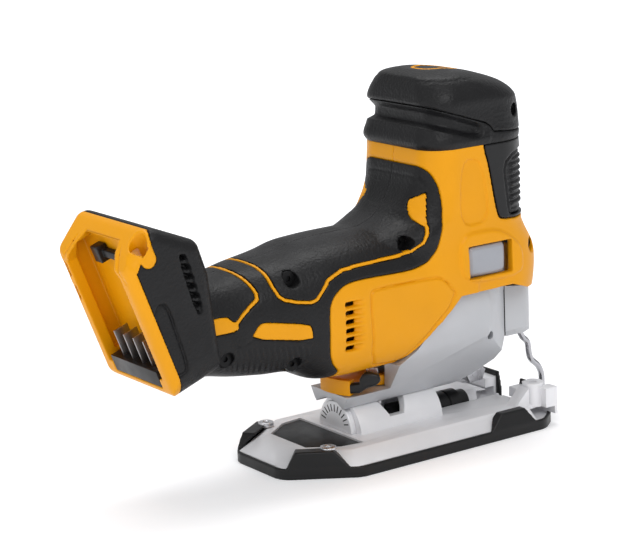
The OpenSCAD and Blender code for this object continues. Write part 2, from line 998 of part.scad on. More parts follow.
module switch_button(side) {
  color("#9c9ea2")
    mirror([0, side > 0 ? 1 : 0, 0])
      difference() {
        union() {
          block([switch_x[0], -30.2, switch_z[0]], [switch_x[1], -26.45, switch_z[1]]);
          block([switch_x[0] + 1, -31, switch_z[0] + 1], [switch_x[1] - 1, -30, switch_z[1] - 1]);
        }
        for (c = [[0, 0], [1, 0], [0, 1], [1, 1]])
          translate([switch_x[c[0]], -35, switch_z[c[1]]])
            rotate([0, 45, 0])
              cube([3.2, 20, 3.2], center = true);
      }
}

module switch_button_right() {
  switch_button(-1);
}

module switch_button_left() {
  switch_button(1);
}

module speed_dial() {
  color("#34363a")
    difference() {
      union() {
        y_cyl(-12, 66, 10, 26.5, 31.2);
        y_cyl(-12, 66, 2.5, 23, 26.6);
      }
      for (i = [0:17])
        translate([-12, 28, 66])
          rotate([0, 20 * i, 0])
            translate([10.3, 4, 0])
              rotate([90, 0, 0])
                cylinder(r = 0.9, h = 4.5);
    }
}

module orbit_knob() {
  color("#26272b")
    difference() {
      union() {
        y_cyl(20, 48, 5.5, 24, 27.5);
        y_cyl(20, 48, 9, 27.2, 31);
        y_cyl(20, 48, 3, 12.5, 24.1);
        block([19, 31, 40], [21, 33.4, 56]);
      }
      block([19.4, 10, 49], [24, 14.5, 52]);
    }
}

// ---------------------------------------------------------------- bevel lever

module bevel_lever() {
  color("gold")
    difference() {
      union() {
        z_cyl(bolt_x, 0, 29, 33.5, 9);
        translate([0, 0, 29])
          linear_extrude(4.5)
            polygon([[bolt_x, -5], [bolt_x, 5], [-30, 5], [-30, -11]]);
        intersection() {
          difference() {
            z_cyl(bolt_x, 0, 29, 36, 28.5, $fn = 96);
            z_cyl(bolt_x, 0, 28, 37, 24, $fn = 96);
          }
          translate([0, 0, 20])
            linear_extrude(20)
              polygon([[bolt_x, 0], [-50, 8], [-50, -24]]);
        }
      }
      z_cyl(bolt_x, 0, 20, 40, bolt_r + fit);
      z_cyl(bolt_x, 0, 31.5, 40, 5.5, $fn = 6);
    }
}

module lever_nut() {
  color("silver")
    difference() {
      z_cyl(bolt_x, 0, 31.55, 36, 5.3, $fn = 6);
      z_cyl(bolt_x, 0, 30, 40, bolt_r + fit);
    }
}

// ---------------------------------------------------------------- shoe

// sole outline with its long rear corners
function sole_outline(o) =
  let (h = shoe_w / 2 - o, f = shoe_len / 2 - o, k = o * 0.45)
    [[-f, k - 17.8], [-f, 17.8 - k], [k - 45.1, h], [63.5 - k, h], [f, h - 8 + k],
     [f, k + 8 - h], [63.5 - k, -h], [k - 45.1, -h]];

module blade_slot(o) {
  block([40 + o, o - slot_hw, -1], [90, slot_hw - o, 30]);
}

module shoe_plate() {
  toe_x = shoe_len / 2;
  color("#b9bcc0")
    difference() {
      union() {
        // tray with sloping flanks
        hull() {
          translate([0, 0, 1.7])
            linear_extrude(3.3)
              polygon(sole_outline(1.7));
          translate([0, 0, plate_top - 0.1])
            linear_extrude(0.1)
              polygon([[-62, -14], [-62, 14], [-43, 30.2], [60, 30.2], [60, -30.2], [-43, -30.2]]);
        }
        // ridge that the saddle sits on
        x_cyl(-27.4, 19, 0, bevel_z, tunnel_r, $fn = 96);
        block([-27.4, -16.3, 5], [19, 16.3, bevel_z + 2]);
        for (s = [-1, 1])
          mirror([0, s > 0 ? 1 : 0, 0]) {
            // toe wall and fence boss
            block([toe_x - 8.5, -36, 5], [toe_x - 1.7, -30, 18]);
            side_prism([[50, 10], [59, 18.5], [59, 10]], -31, -24);
            z_cyl(64.2, -27.4, 6, 20, 5);
            block([toe_x - 8.5, -30, 5], [toe_x - 1.7, -9, 13.5]);
          }
      }
      block([-40, -20, -10], [30, 20, 1.7]);
      // slot for the fence bar, and the threaded holes that clamp it
      block([fence_x[0], -50, fence_z[0]], [fence_x[1], 50, fence_z[1]]);
      block([58.6, -23.5, 9], [toe_x - 8.5, 23.5, 30]);
      for (s = [-1, 1])
        z_cyl(64.2, s * 27.4, fence_z[0] + 1, 30, 2.1);
      blade_slot(0);
      // inside of the ridge
      intersection() {
        x_cyl(-40, 19.1, 0, bevel_z, 13.4);
        block([-24, -20, 8.5], [40, 20, 40]);
      }
      x_cyl(-18, 60, 0, bevel_z, barrel_r + 0.4);
      block([19, -barrel_r - 0.4, bevel_z], [60, barrel_r + 0.4, 30]);
      // arc slot for the clamp bolt
      side_prism([[-13.5, 40], [-13.5, 22.4], [-9.8, 15.6], [-2.2, 15.6], [1.5, 22.4], [1.5, 40]], -20, 20);
      // hollow underside
      for (s = [-1, 1])
        mirror([0, s > 0 ? 1 : 0, 0])
          block([-40, -26, 1], [52, -12, 7.6]);
      // window at the rear
      translate([0, 0, 8])
        linear_extrude(10)
          window_outline(0);
      for (s = [-1, 1])
        z_cyl(-51.8, s * 24.8, 4, 20, 2 + seat);
    }
}

module window_outline(o) {
  polygon([[-32.5 - o, o - 25], [-43.8 + o, o - 23.4], [-56.5 + o, o - 14], [-56.5 + o, 14 - o],
           [-43.8 + o, 23.4 - o], [-32.5 - o, 25 - o]]);
}

module rear_insert() {
  color("#2a2118")
    translate([0, 0, 8.02])
      linear_extrude(1.9)
        window_outline(0.3);
}

module sole_cover() {
  color("#202124")
    difference() {
      union() {
        linear_extrude(5)
          polygon(sole_outline(0));
        // tabs that clip round the casting
        for (s = [-1, 1])
          mirror([0, s > 0 ? 1 : 0, 0]) {
            side_prism([[30, 4], [38, 12], [52, 12], [57, 4]], -39, -34);
            translate([-59.3, -28.4, 0])
              rotate([0, 0, -36.8])
                block([-9, -0.2, 0], [9, 4, 12]);
            block([shoe_len / 2 - 1.6, -32.5, 0], [shoe_len / 2, -7, 16]);
          }
      }
      translate([0, 0, 1.65])
        linear_extrude(20)
          polygon(sole_outline(1.65));
      hull() {
        translate([0, 0, 5])
          linear_extrude(0.1)
            polygon(sole_outline(1.65));
        translate([0, 0, plate_top])
          linear_extrude(10)
            polygon([[-62.2, -14.2], [-62.2, 14.2], [-43.1, 30.4], [shoe_len / 2 - 1.65, 30.4],
                     [shoe_len / 2 - 1.65, -30.4], [-43.1, -30.4]]);
      }
      blade_slot(0.6);
      block([fence_x[0], -50, fence_z[0]], [fence_x[1], 50, fence_z[1]]);
    }
}

module bevel_scale() {
  color("#c9cbce")
    difference() {
      x_cyl(-30.4, -27.45, 0, 11.2, 12.6);
      block([-40, -20, -10], [0, 20, plate_top + 0.02]);
    }
}

module shoe_screws() {
  color("silver")
    for (s = [-1, 1]) {
      z_cyl(-51.8, s * 24.8, 4.1, plate_top + 0.1, 2);
      difference() {
        z_cyl(-51.8, s * 24.8, plate_top + 0.02, plate_top + 2.2, 3.6);
        z_cyl(-51.8, s * 24.8, plate_top + 0.9, plate_top + 3, 1.5, $fn = 6);
      }
    }
}

housing_right();
housing_left();
grip_right();
grip_left();
head_cap();
cap_screws();
grip_ring();
front_bezel();
lever_pin();
foot_shell();
battery_receptacle();
terminal_block();
terminal_blades();
latch_strip();
gearcase();
front_gasket();
front_cover();
finger_guard();
housing_screws();
cover_screws();
led_lens();
motor_stator();
stator_windings();
motor_end_bell();
motor_bearings();
gear_axle();
plunger_bushes();
switch_module();
control_board();
clamp_barrel();
clamp_bolt();
fork_pin();
switch_bar();
switch_button_right();
switch_button_left();
blade_lever();
speed_dial();
orbit_knob();
plunger_rod();
scotch_yoke();
blade_clamp();
roller_fork();
roller_pin();
guide_roller();
rotor_core();
motor_shaft();
motor_fan();
pinion();
drive_gear();
crank_pin();
counterweight();
shoe_plate();
sole_cover();
rear_insert();
bevel_scale();
shoe_screws();
bevel_lever();
lever_nut();
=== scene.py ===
import json
import math

import bmesh
import bpy
import numpy as np
from mathutils import Matrix, Vector

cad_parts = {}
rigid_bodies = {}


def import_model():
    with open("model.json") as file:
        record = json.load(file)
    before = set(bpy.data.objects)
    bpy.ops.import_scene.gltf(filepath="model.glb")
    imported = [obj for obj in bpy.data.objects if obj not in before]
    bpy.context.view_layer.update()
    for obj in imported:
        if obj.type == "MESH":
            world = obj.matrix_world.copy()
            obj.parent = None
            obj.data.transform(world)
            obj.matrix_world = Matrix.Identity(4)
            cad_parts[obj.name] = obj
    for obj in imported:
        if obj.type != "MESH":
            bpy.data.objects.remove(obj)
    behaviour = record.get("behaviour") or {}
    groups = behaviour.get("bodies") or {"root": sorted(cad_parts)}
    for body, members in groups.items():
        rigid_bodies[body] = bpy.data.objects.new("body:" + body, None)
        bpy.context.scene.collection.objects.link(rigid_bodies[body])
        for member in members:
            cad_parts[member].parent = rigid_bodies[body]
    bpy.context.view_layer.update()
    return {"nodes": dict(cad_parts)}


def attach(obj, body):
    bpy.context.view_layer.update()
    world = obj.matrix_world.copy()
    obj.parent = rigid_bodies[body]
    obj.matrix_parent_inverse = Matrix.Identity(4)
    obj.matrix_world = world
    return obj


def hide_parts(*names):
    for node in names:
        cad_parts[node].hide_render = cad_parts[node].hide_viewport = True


for leftover in list(bpy.data.objects):
    bpy.data.objects.remove(leftover)
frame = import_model()
MM = 0.001


# ---------------------------------------------------------------- viewpoint
# Seen from behind and to the right of the saw, a little above it, with a long lens. The camera rolls
# slightly, so that the saw seems to lean.
EYE = (-0.5772, -0.7893, 0.3104)
EYE_RIGHT = Vector((0.8202, -0.5705, -0.0421)).normalized()
EYE_AHEAD = Vector((0.5479, 0.8046, -0.2293)).normalized()
EYE_UP = EYE_RIGHT.cross(EYE_AHEAD)

camera = bpy.data.objects.new("viewpoint", bpy.data.cameras.new("viewpoint"))
camera.data.lens = 127.05
camera.data.sensor_width = 36
camera.data.sensor_fit = "HORIZONTAL"
camera.data.clip_start = 0.05
camera.data.clip_end = 30
pose = Matrix((EYE_RIGHT, EYE_UP, -EYE_AHEAD)).transposed().to_4x4()
pose.translation = EYE
camera.matrix_world = pose
bpy.context.scene.collection.objects.link(camera)
bpy.context.scene.camera = camera


# ---------------------------------------------------------------- floor and light
# A matt white floor that brightens away from the saw, a large soft box over the right flank, a long
# strip over the head and a low fill behind, in an evenly white room.
def soft_box(name, place, aim, size, watts):
    light = bpy.data.lights.new(name, "AREA")
    light.shape = "RECTANGLE"
    light.size, light.size_y = size
    light.energy = watts
    box = bpy.data.objects.new(name, light)
    box.location = place
    box.rotation_euler = (Vector(aim) - Vector(place)).to_track_quat("-Z", "Y").to_euler()
    bpy.context.scene.collection.objects.link(box)


room = bpy.data.worlds.new("white_room")
room.use_nodes = True
walls = room.node_tree.nodes["Background"]
walls.inputs["Color"].default_value = (0.98, 0.985, 1.0, 1)
seen = room.node_tree.nodes.new("ShaderNodeLightPath")
lift = room.node_tree.nodes.new("ShaderNodeMapRange")
lift.inputs["To Min"].default_value = 0.5
lift.inputs["To Max"].default_value = 1.0
room.node_tree.links.new(seen.outputs["Is Camera Ray"], lift.inputs["Value"])
room.node_tree.links.new(lift.outputs["Result"], walls.inputs["Strength"])
bpy.context.scene.world = room
bpy.context.scene.view_settings.view_transform = "Standard"

soft_box("key_right", (-0.25, -0.75, 0.75), (0, 0, 0.08), (0.7, 0.5), 4.5)
soft_box("strip_top", (0.1, 0.25, 0.9), (0, 0, 0.1), (0.9, 0.35), 5)
soft_box("fill_rear", (-0.9, -0.1, 0.35), (-0.05, 0, 0.08), (0.5, 0.5), 1.2)

sweep = bmesh.new()
bmesh.ops.create_grid(sweep, x_segments=2, y_segments=2, size=3)
floor_mesh = bpy.data.meshes.new("floor")
sweep.to_mesh(floor_mesh)
sweep.free()
floor = bpy.data.objects.new("floor", floor_mesh)
bpy.context.scene.collection.objects.link(floor)
paper = bpy.data.materials.new("floor_paper")
paper.use_nodes = True
matt = paper.node_tree.nodes["Principled BSDF"]
matt.inputs["Base Color"].default_value = (0.93, 0.93, 0.94, 1)
matt.inputs["Roughness"].default_value = 0.9
matt.inputs["Specular IOR Level"].default_value = 0.1
matt.inputs["Emission Color"].default_value = (0.97, 0.98, 1, 1)
spot = paper.node_tree.nodes.new("ShaderNodeTexCoord")
reach = paper.node_tree.nodes.new("ShaderNodeVectorMath")
reach.operation = "LENGTH"
paper.node_tree.links.new(spot.outputs["Object"], reach.inputs[0])
bright = paper.node_tree.nodes.new("ShaderNodeMapRange")
bright.interpolation_type = "SMOOTHSTEP"
bright.inputs["From Min"].default_value = 0.12
bright.inputs["From Max"].default_value = 0.9
bright.inputs["To Min"].default_value = 0.16
bright.inputs["To Max"].default_value = 0.8
paper.node_tree.links.new(reach.outputs["Value"], bright.inputs["Value"])
paper.node_tree.links.new(bright.outputs["Result"], matt.inputs["Emission Strength"])
floor_mesh.materials.append(paper)


# ---------------------------------------------------------------- yellow shells
# Two halves of glass-filled nylon, moulded in yellow with a fine spark-eroded surface and screwed
# together across the middle plane.
def finish_of(name, colour, rough=0.5, metal=0.0, grain=1.0, cell=0.8, mottle=0.06, gloss=0.5):
    """A moulded, cast or plated finish: uneven gloss, slight mottling and a fine relief, cell in mm."""
    made = bpy.data.materials.new(name)
    made.use_nodes = True
    nodes, links = made.node_tree.nodes, made.node_tree.links
    shader = nodes["Principled BSDF"]
    shader.inputs["Metallic"].default_value = metal
    shader.inputs["Specular IOR Level"].default_value = gloss
    where = nodes.new("ShaderNodeTexCoord")

    def noise(scale, detail):
        n = nodes.new("ShaderNodeTexNoise")
        n.inputs["Scale"].default_value = scale
        n.inputs["Detail"].default_value = detail
        links.new(where.outputs["Object"], n.inputs["Vector"])
        return n.outputs["Fac"]

    def spread(value, low, high):
        m = nodes.new("ShaderNodeMapRange")
        m.inputs["From Min"].default_value = 0.3
        m.inputs["From Max"].default_value = 0.7
        m.inputs["To Min"].default_value = low
        m.inputs["To Max"].default_value = high
        links.new(value, m.inputs["Value"])
        return m.outputs["Result"]

    broad = noise(38, 4)
    fine = noise(1000 / cell, 2)
    tint = nodes.new("ShaderNodeMixRGB")
    tint.blend_type = "MULTIPLY"
    tint.inputs["Fac"].default_value = 1
    tint.inputs["Color1"].default_value = (*colour, 1)
    links.new(spread(broad, 1 - mottle, 1 + mottle), tint.inputs["Color2"])
    links.new(tint.outputs["Color"], shader.inputs["Base Color"])
    links.new(spread(noise(160, 5), rough - 0.05, rough + 0.06), shader.inputs["Roughness"])
    relief = nodes.new("ShaderNodeBump")
    relief.inputs["Strength"].default_value = 0.35
    relief.inputs["Distance"].default_value = 0.0001 * grain
    links.new(fine, relief.inputs["Height"])
    links.new(relief.outputs["Normal"], shader.inputs["Normal"])
    return made


YELLOW = finish_of("yellow_nylon", (0.70, 0.292, 0.0),
                   rough=0.44, grain=0.8, cell=0.9, mottle=0.03, gloss=0.22)

# outer form in mm: z, rear x, front x, half width, rear corner, front corner of the upright head
HEAD_LEVELS = np.array([
    [60, -4, 73, 29.4, 20, 21], [70, -6, 75.5, 30, 20, 22], [86, -8, 75, 30, 20, 22],
    [94.5, -14, 70.5, 30, 24, 22], [98, -20, 69, 30, 27, 22], [102, -14, 69, 30, 27, 22],
    [105.5, -6.5, 69, 30, 25, 22], [110.5, -0.5, 69, 30, 21, 22], [117, 4, 69, 30, 18, 22],
    [127, 7, 69, 30, 15, 22], [137, 8.3, 68.2, 30, 14, 22]], float)
# x, centre z, half height, half width, squareness of the barrel
BARREL_STATIONS = np.array([
    [-122, 76, 24, 24.5, 2.6], [-104, 73, 22, 24, 2.5], [-92, 71.6, 23, 24.6, 2.5],
    [-78, 71.8, 25, 26.2, 2.6], [-60, 72, 27.2, 28.6, 2.8], [-51, 70.8, 30.4, 29.7, 2.9],
    [-40, 70.6, 31.4, 30, 3], [-20, 70.8, 31.7, 30, 3], [2, 71, 31.6, 30, 3], [30, 71.5, 31, 30, 3]], float)
SHELL_STEP = 0.55
SHELL_WALL, SHUT_LINE, ACCENT_HALF = 2.6, 0.1, 0.8
VENTS, VENT_Z, VENT_PITCH = 6, 56.1, 4
GRIP_EDGE = [(-125, 30), (-44, 30), (-42, 44.4), (-48, 49.5), (-51, 56), (-50.9, 76), (-48.6, 80.6),
             (-42.7, 84.9), (-33.9, 86), (-5.6, 85.3), (3.3, 87.2), (8.7, 92.7), (11.8, 101.3),
             (13.2, 110), (13, 119), (10.5, 126.5), (6, 131.6), (-30, 134), (-125, 140)]
ACCENT_REAR = [(-87, 99), (-86.6, 95), (-85.4, 93.1), (-84.1, 89.9), (-83.4, 87.1), (-83.9, 84.8),
               (-88.2, 82.1), (-91.6, 79.7), (-95.6, 76.2)]
ACCENT_FRONT = [(-77.2, 101), (-76.6, 97), (-75.9, 95.2), (-75.5, 92.3), (-75.3, 88.5), (-73.9, 84.7),
                (-71.6, 82.9), (-66, 81.2), (-59.4, 80.1), (-56.5, 80.9), (-53.6, 84), (-49.5, 88.4),
                (-41.8, 91.2), (-32, 92), (-12.2, 92.4), (-3.4, 93.4), (1.2, 96.6), (4, 100.7),
                (5, 103.4)]
PAD_REAR = [(-114.5, 80.2), (-99.9, 80.4), (-97, 77.4), (-94.4, 77.2), (-94.6, 74), (-97.3, 72.9),
            (-113.5, 73.2)]
PAD_FRONT = [(-89.3, 68.5), (-84.7, 74.3), (-81.8, 74.9), (-61.1, 70.8), (-59.6, 68.3), (-59.4, 63.1)]
HEAD_INSET = [(8.6, 118), (3, 114.2), (1.2, 108.7), (1.4, 106.3), (3, 104.2), (5.3, 102.6)]
SHELL_JOINT = [(-9, 41.3), (21.3, 69.1), (52, 69.6), (62, 66.1), (82, 63.9), (90, 20), (-9, 20)]
TRIM_EDGE = [(36.4, 139), (36.6, 134), (38.7, 127.5), (43.1, 104), (45.9, 100.4), (90, 99.2),
             (90, 139)]
SCREWS = [(-66, 90.5), (-66, 52.5), (-6, 97), (-100, 61), (66.8, 85)]


def flowing(at, stations, column):
    """A size between stations, on a smooth curve through them."""
    t, y = stations[:, 0], stations[:, column]
    slope = np.gradient(y, t)
    i = np.clip(np.searchsorted(t, at) - 1, 0, len(t) - 2)
    h = t[i + 1] - t[i]
    s = np.clip((at - t[i]) / h, 0, 1)
    return ((1 + 2 * s) * (1 - s) ** 2 * y[i] + s * (1 - s) ** 2 * h * slope[i]
            + s * s * (3 - 2 * s) * y[i + 1] + s * s * (s - 1) * h * slope[i + 1])


def upright(x, y, z, levels):
    """Distance in mm outside an upright form with rounded corners, from its level sections."""
    rear, front, half, rear_r, front_r = (flowing(z, levels, c) for c in range(1, 6))

    def corner(a, b, r):
        return np.hypot(np.maximum(a, 0), np.maximum(b, 0)) + np.minimum(np.maximum(a, b), 0) - r

    y = np.abs(y)
    ends = np.maximum(z - levels[-1, 0], levels[0, 0] - z)
    plan = np.maximum(corner(x - (front - front_r), y - (half - front_r), front_r),
                      corner(rear + rear_r - x, y - (half - rear_r), rear_r))
    return np.maximum(plan, ends)


def even(field, step):
    """The field with its slope made one, so that its values are distances."""
    slope = np.sqrt(sum(g * g for g in np.gradient(field, step)))
    return field / np.clip(slope, 0.35, 4)


def body_distance(x, y, z, step):
    head = upright(x, y, z, HEAD_LEVELS)
    mid, tall, wide, square = (flowing(x, BARREL_STATIONS, c) for c in range(1, 5))
    barrel = ((np.abs(y) / wide) ** square + (np.abs(z - mid) / tall) ** square) ** (1 / square)
    barrel = (barrel - 1) * np.minimum(tall, wide)
    barrel = np.maximum(barrel, np.maximum(-122 - x, x - 30))
    fillet = 3.0
    share = np.clip(0.5 + 0.5 * (barrel - head) / fillet, 0, 1)
    return even(barrel * (1 - share) + head * share - fillet * share * (1 - share), step)


def rounded(outline, passes=2):
    """The outline with its corners cut smooth."""
    for _ in range(passes):
        a = np.array(outline, float)
        b = np.roll(a, -1, axis=0)
        outline = np.stack((0.8 * a + 0.2 * b, 0.2 * a + 0.8 * b), axis=1).reshape(-1, 2)
    return outline


def inside(outline, u, v):
    """Signed distance to a closed outline, negative inside."""
    a = np.array(outline, float)
    b = np.roll(a, -1, axis=0)
    near = np.full(u.shape, 1e9)
    crossed = np.zeros(u.shape, bool)
    for (au, av), (bu, bv) in zip(a, b):
        du, dv = bu - au, bv - av
        t = np.clip(((u - au) * du + (v - av) * dv) / (du * du + dv * dv + 1e-12), 0, 1)
        near = np.minimum(near, np.hypot(u - au - t * du, v - av - t * dv))
        with np.errstate(divide="ignore", invalid="ignore"):
            crossed ^= ((av > v) != (bv > v)) & (u < (bu - au) * (v - av) / (bv - av) + au)
    return np.where(crossed, -near, near)


def along(line, u, v):
    """Distance to an open line."""
    near = np.full(u.shape, 1e9)
    for (au, av), (bu, bv) in zip(line[:-1], line[1:]):
        du, dv = bu - au, bv - av
        t = np.clip(((u - au) * du + (v - av) * dv) / (du * du + dv * dv + 1e-12), 0, 1)
        near = np.minimum(near, np.hypot(u - au - t * du, v - av - t * dv))
    return near


def skin(field, low, step):
    """Closed surface where the field is zero: points in metres, and faces that look outwards."""
    f = np.pad(np.asarray(field, np.float32), 1, constant_values=1.0)
    low = np.array(low, float) - step
    solid = f < 0
    shape = np.array(f.shape)
    stride = np.array([shape[1] * shape[2], shape[2], 1])
    cells, spots, quads = [], [], []
    for axis in range(3):
        b, c = (axis + 1) % 3, (axis + 2) % 3
        first = [slice(None)] * 3
        last = [slice(None)] * 3
        first[axis], last[axis] = slice(0, -1), slice(1, None)
        s0, s1 = solid[tuple(first)], solid[tuple(last)]
        at = np.argwhere(s0 != s1)
        f0, f1 = f[tuple(first)][tuple(at.T)], f[tuple(last)][tuple(at.T)]
        spot = at.astype(float)
        spot[:, axis] += f0 / (f0 - f1)
        ring = []
        for ob, oc in ((1, 1), (0, 1), (0, 0), (1, 0)):
            cell = at.copy()
            cell[:, b] -= ob
            cell[:, c] -= oc
            key = cell @ stride
            ring.append(key)
            cells.append(key)
            spots.append(spot)
        ring = np.stack(ring, axis=1)
        out = s0[tuple(at.T)]
        ring[~out] = ring[~out][:, ::-1]
        quads.append(ring)
    keys, index = np.unique(np.concatenate(cells), return_inverse=True)
    spots = np.concatenate(spots)
    count = np.bincount(index)
    points = np.stack([np.bincount(index, spots[:, k]) / count for k in range(3)], axis=1)
    faces = np.searchsorted(keys, np.concatenate(quads))
    return (low + points * step) * MM, faces


def mesh_from(name, points, faces, made):
    """A smooth-shaded mesh object at the origin, in one finish."""
    mesh = bpy.data.meshes.new(name)
    mesh.vertices.add(len(points))
    mesh.vertices.foreach_set("co", np.asarray(points, np.float32).ravel())
    mesh.loops.add(faces.size)
    mesh.loops.foreach_set("vertex_index", faces.ravel().astype(np.int32))
    mesh.polygons.add(len(faces))
    mesh.polygons.foreach_set("loop_start", np.arange(0, faces.size, faces.shape[1], dtype=np.int32))
    mesh.update(calc_edges=True)
    mesh.validate()
    mesh.polygons.foreach_set("use_smooth", np.ones(len(mesh.polygons), bool))
    mesh.materials.append(made)
    piece = bpy.data.objects.new(name, mesh)
    bpy.context.scene.collection.objects.link(piece)
    return piece


def ease(points, faces, passes=2, share=0.45):
    """Evens out the grid's steps without shrinking the form."""
    pairs = np.concatenate([faces[:, [0, 1]], faces[:, [1, 2]], faces[:, [2, 3]], faces[:, [3, 0]]])
    for k in range(2 * passes):
        total = np.zeros_like(points)
        for a, b in ((0, 1), (1, 0)):
            for axis in range(3):
                total[:, axis] += np.bincount(pairs[:, a], points[pairs[:, b], axis], len(points))
        count = np.bincount(pairs.ravel(), minlength=len(points))[:, None]
        points = points + (share if k % 2 == 0 else -share - 0.02) * (total / count - points)
    return points


def cast_pair(names, nodes, field, low, step, made, body):
    """One field for the right-hand piece, mirrored for the left-hand one."""
    points, faces = skin(field, low, step)
    points = ease(points, faces)
    pieces = []
    for name, node, side in zip(names, nodes, (1, -1)):
        p = points * (1, side, 1)
        q = faces if side > 0 else faces[:, ::-1]
        piece = mesh_from(name, p, q, made)
        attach(piece, body)
        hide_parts(*node)
        pieces.append(piece)
    return pieces


SHELL_LOW = (-123.5, -32.0, 37.0)
gx, gy, gz = (np.arange(a, b, SHELL_STEP) for a, b in zip(SHELL_LOW, (78.0, 2.0, 139.0)))
X, Y, Z = np.meshgrid(gx, gy, gz, indexing="ij", sparse=True)
BODY = body_distance(X, Y, Z, SHELL_STEP).astype(np.float32)
U, V = np.meshgrid(gx, gz, indexing="ij")
grip_side = inside(rounded(GRIP_EDGE), U, V)
yellow_side = np.minimum.reduce([
    -grip_side, along(ACCENT_REAR, U, V) - ACCENT_HALF, along(ACCENT_FRONT, U, V) - ACCENT_HALF,
    inside(rounded(PAD_REAR, 1), U, V), inside(rounded(PAD_FRONT, 1), U, V)])
corner_inset = np.maximum(inside(HEAD_INSET, U, V)[:, None, :], Y + 16).astype(np.float32)
joint_side = inside(SHELL_JOINT, U, V)
trim_side = inside(rounded(TRIM_EDGE), U, V)


def across(side):
    return side[:, None, :].astype(np.float32)


def cut(field, tool):
    return np.maximum(field, -tool)


# the switch's raised frame, the smooth head panel, the rating panel's fine line, and the scooped vents
frame_side = inside(rounded([(21, 97.3), (43.6, 97.3), (57.4, 87), (57.4, 73.4), (21, 74.5)]), U, V)
panel_side = inside(rounded([(23.6, 131.2), (35, 130.6), (39.4, 101.2), (21.9, 100.6)]), U, V)
label_side = inside(rounded([(-27, 44.5), (-29.4, 78.5), (-26.1, 80.6), (7.4, 80.3), (11.4, 78.8),
                             (19.2, 70.2), (-6, 46), (-9, 42)], 1), U, V)
relief = 1.3 * np.clip(0.5 - frame_side / 1.3, 0, 1)
relief -= 0.9 * np.clip(0.5 - panel_side / 0.6, 0, 1)
relief -= 1.1 * np.clip(1 - np.abs(label_side) / 0.75, 0, 1)
for k in range(VENTS):
    vent_z = VENT_Z + VENT_PITCH * k
    scoop = np.clip((U + 42.9) / 1.2, 0, 1) * np.clip((-31.8 - U) / 6.5, 0, 1)
    relief -= 2.4 * scoop * np.clip(1.55 - np.abs(V - vent_z) / 1.05, 0, 1) * (U < -31.8)
SKIN = BODY - across(relief)
YELLOW_ZONE = np.minimum(across(yellow_side), corner_inset)
yellow = np.maximum(np.maximum(SKIN, -(BODY + SHELL_WALL)), YELLOW_ZONE + SHUT_LINE)
yellow = np.maximum(yellow, Y)
yellow = cut(yellow, across(joint_side))
yellow = cut(yellow, across(trim_side - 0.12))
switch_hole = np.maximum(np.abs(U - 38.1) - 12.6, np.abs(V - 83.7) - 7.6)
yellow = cut(yellow, across(switch_hole))
for k in range(VENTS):
    slit = np.maximum(np.abs(U + 40) - 2.7, np.abs(V - VENT_Z - VENT_PITCH * k) - 0.95)
    yellow = cut(yellow, across(slit))
yellow = cut(yellow, across(np.hypot(U - SCREWS[4][0], V - SCREWS[4][1]) - 3.4))
cast_pair(("yellow_shell_right", "yellow_shell_left"), (("housing_right",), ("housing_left",)),
          yellow, SHELL_LOW, SHELL_STEP, YELLOW, "housing")


# ---------------------------------------------------------------- black grips
# Soft black elastomer moulded over the yellow shells, with a smooth band round a grained field. Yellow
# lines and pads of the shell show through it, and the screws sit at the bottom of its round wells.
BLACK_GRIP = finish_of("black_overmould", (0.0062, 0.0062, 0.0068),
                       rough=0.45, grain=9.0, cell=1.3, mottle=0.2, gloss=0.24)
GRIP_WALL, WELL_OUTER, WELL_BORE, WELL_FLOOR = 1.6, 5.0, 3.5, 17
rib_side = inside(rounded([(-91, 65.6), (-60.3, 61.6), (-59.7, 56.9), (-62, 53), (-67, 50.6),
                           (-89, 51), (-103.6, 57.4), (-106, 63.8)]), U, V)
ribs = 0.28 * np.clip(-rib_side / 0.8, 0, 1) * np.sin((U + 0.35 * V) * 2 * math.pi / 2.6)
seam = along([(-106.7, 57.5), (-107.1, 64.9), (-91.7, 66.4), (-86.9, 69), (-59.6, 62.4),
              (-59.5, 56.9), (-62, 52.5)], U, V)
band_seam = along([(6.6, 124.7), (8, 121.5), (9.2, 118.2), (8, 117.6)], U, V)
relief = ribs - 0.45 * np.clip(1 - seam / 0.55, 0, 1) - 0.4 * np.clip(1 - band_seam / 0.5, 0, 1)
relief = relief + 0.3 * np.clip(-grip_side / 1.2, 0, 1) - 0.3
grip = np.maximum(BODY - across(relief), -(BODY + GRIP_WALL))
grip = np.maximum(grip, SHUT_LINE - YELLOW_ZONE)
for screw_x, screw_z in SCREWS[:4]:
    bush = across(np.hypot(U - screw_x, V - screw_z) - WELL_OUTER)
    grip = np.minimum(grip, np.maximum(bush, np.maximum(BODY + 0.3, Y + WELL_FLOOR)))
for screw_x, screw_z in SCREWS[:4]:
    grip = cut(grip, across(np.hypot(U - screw_x, V - screw_z) - WELL_BORE))
grip = np.maximum(grip, Y)
grip = cut(grip, across(trim_side))
cast_pair(("grip_skin_right", "grip_skin_left"), (("grip_right",), ("grip_left",)), grip, SHELL_LOW,
          SHELL_STEP, BLACK_GRIP, "housing")


# ---------------------------------------------------------------- collar and cap
# The palm grip on top of the head: a hollow cap whose lip overhangs a finger groove, on a rounded
# collar. Both are black elastomer over nylon, and a plain yellow outline is let into the cap.
def moulded(name, field, low, step, made, passes=2):
    """The field's zero surface, with the grid's steps evened out, as a piece."""
    points, faces = skin(field, low, step)
    return mesh_from(name, ease(points, faces, passes), faces, made)


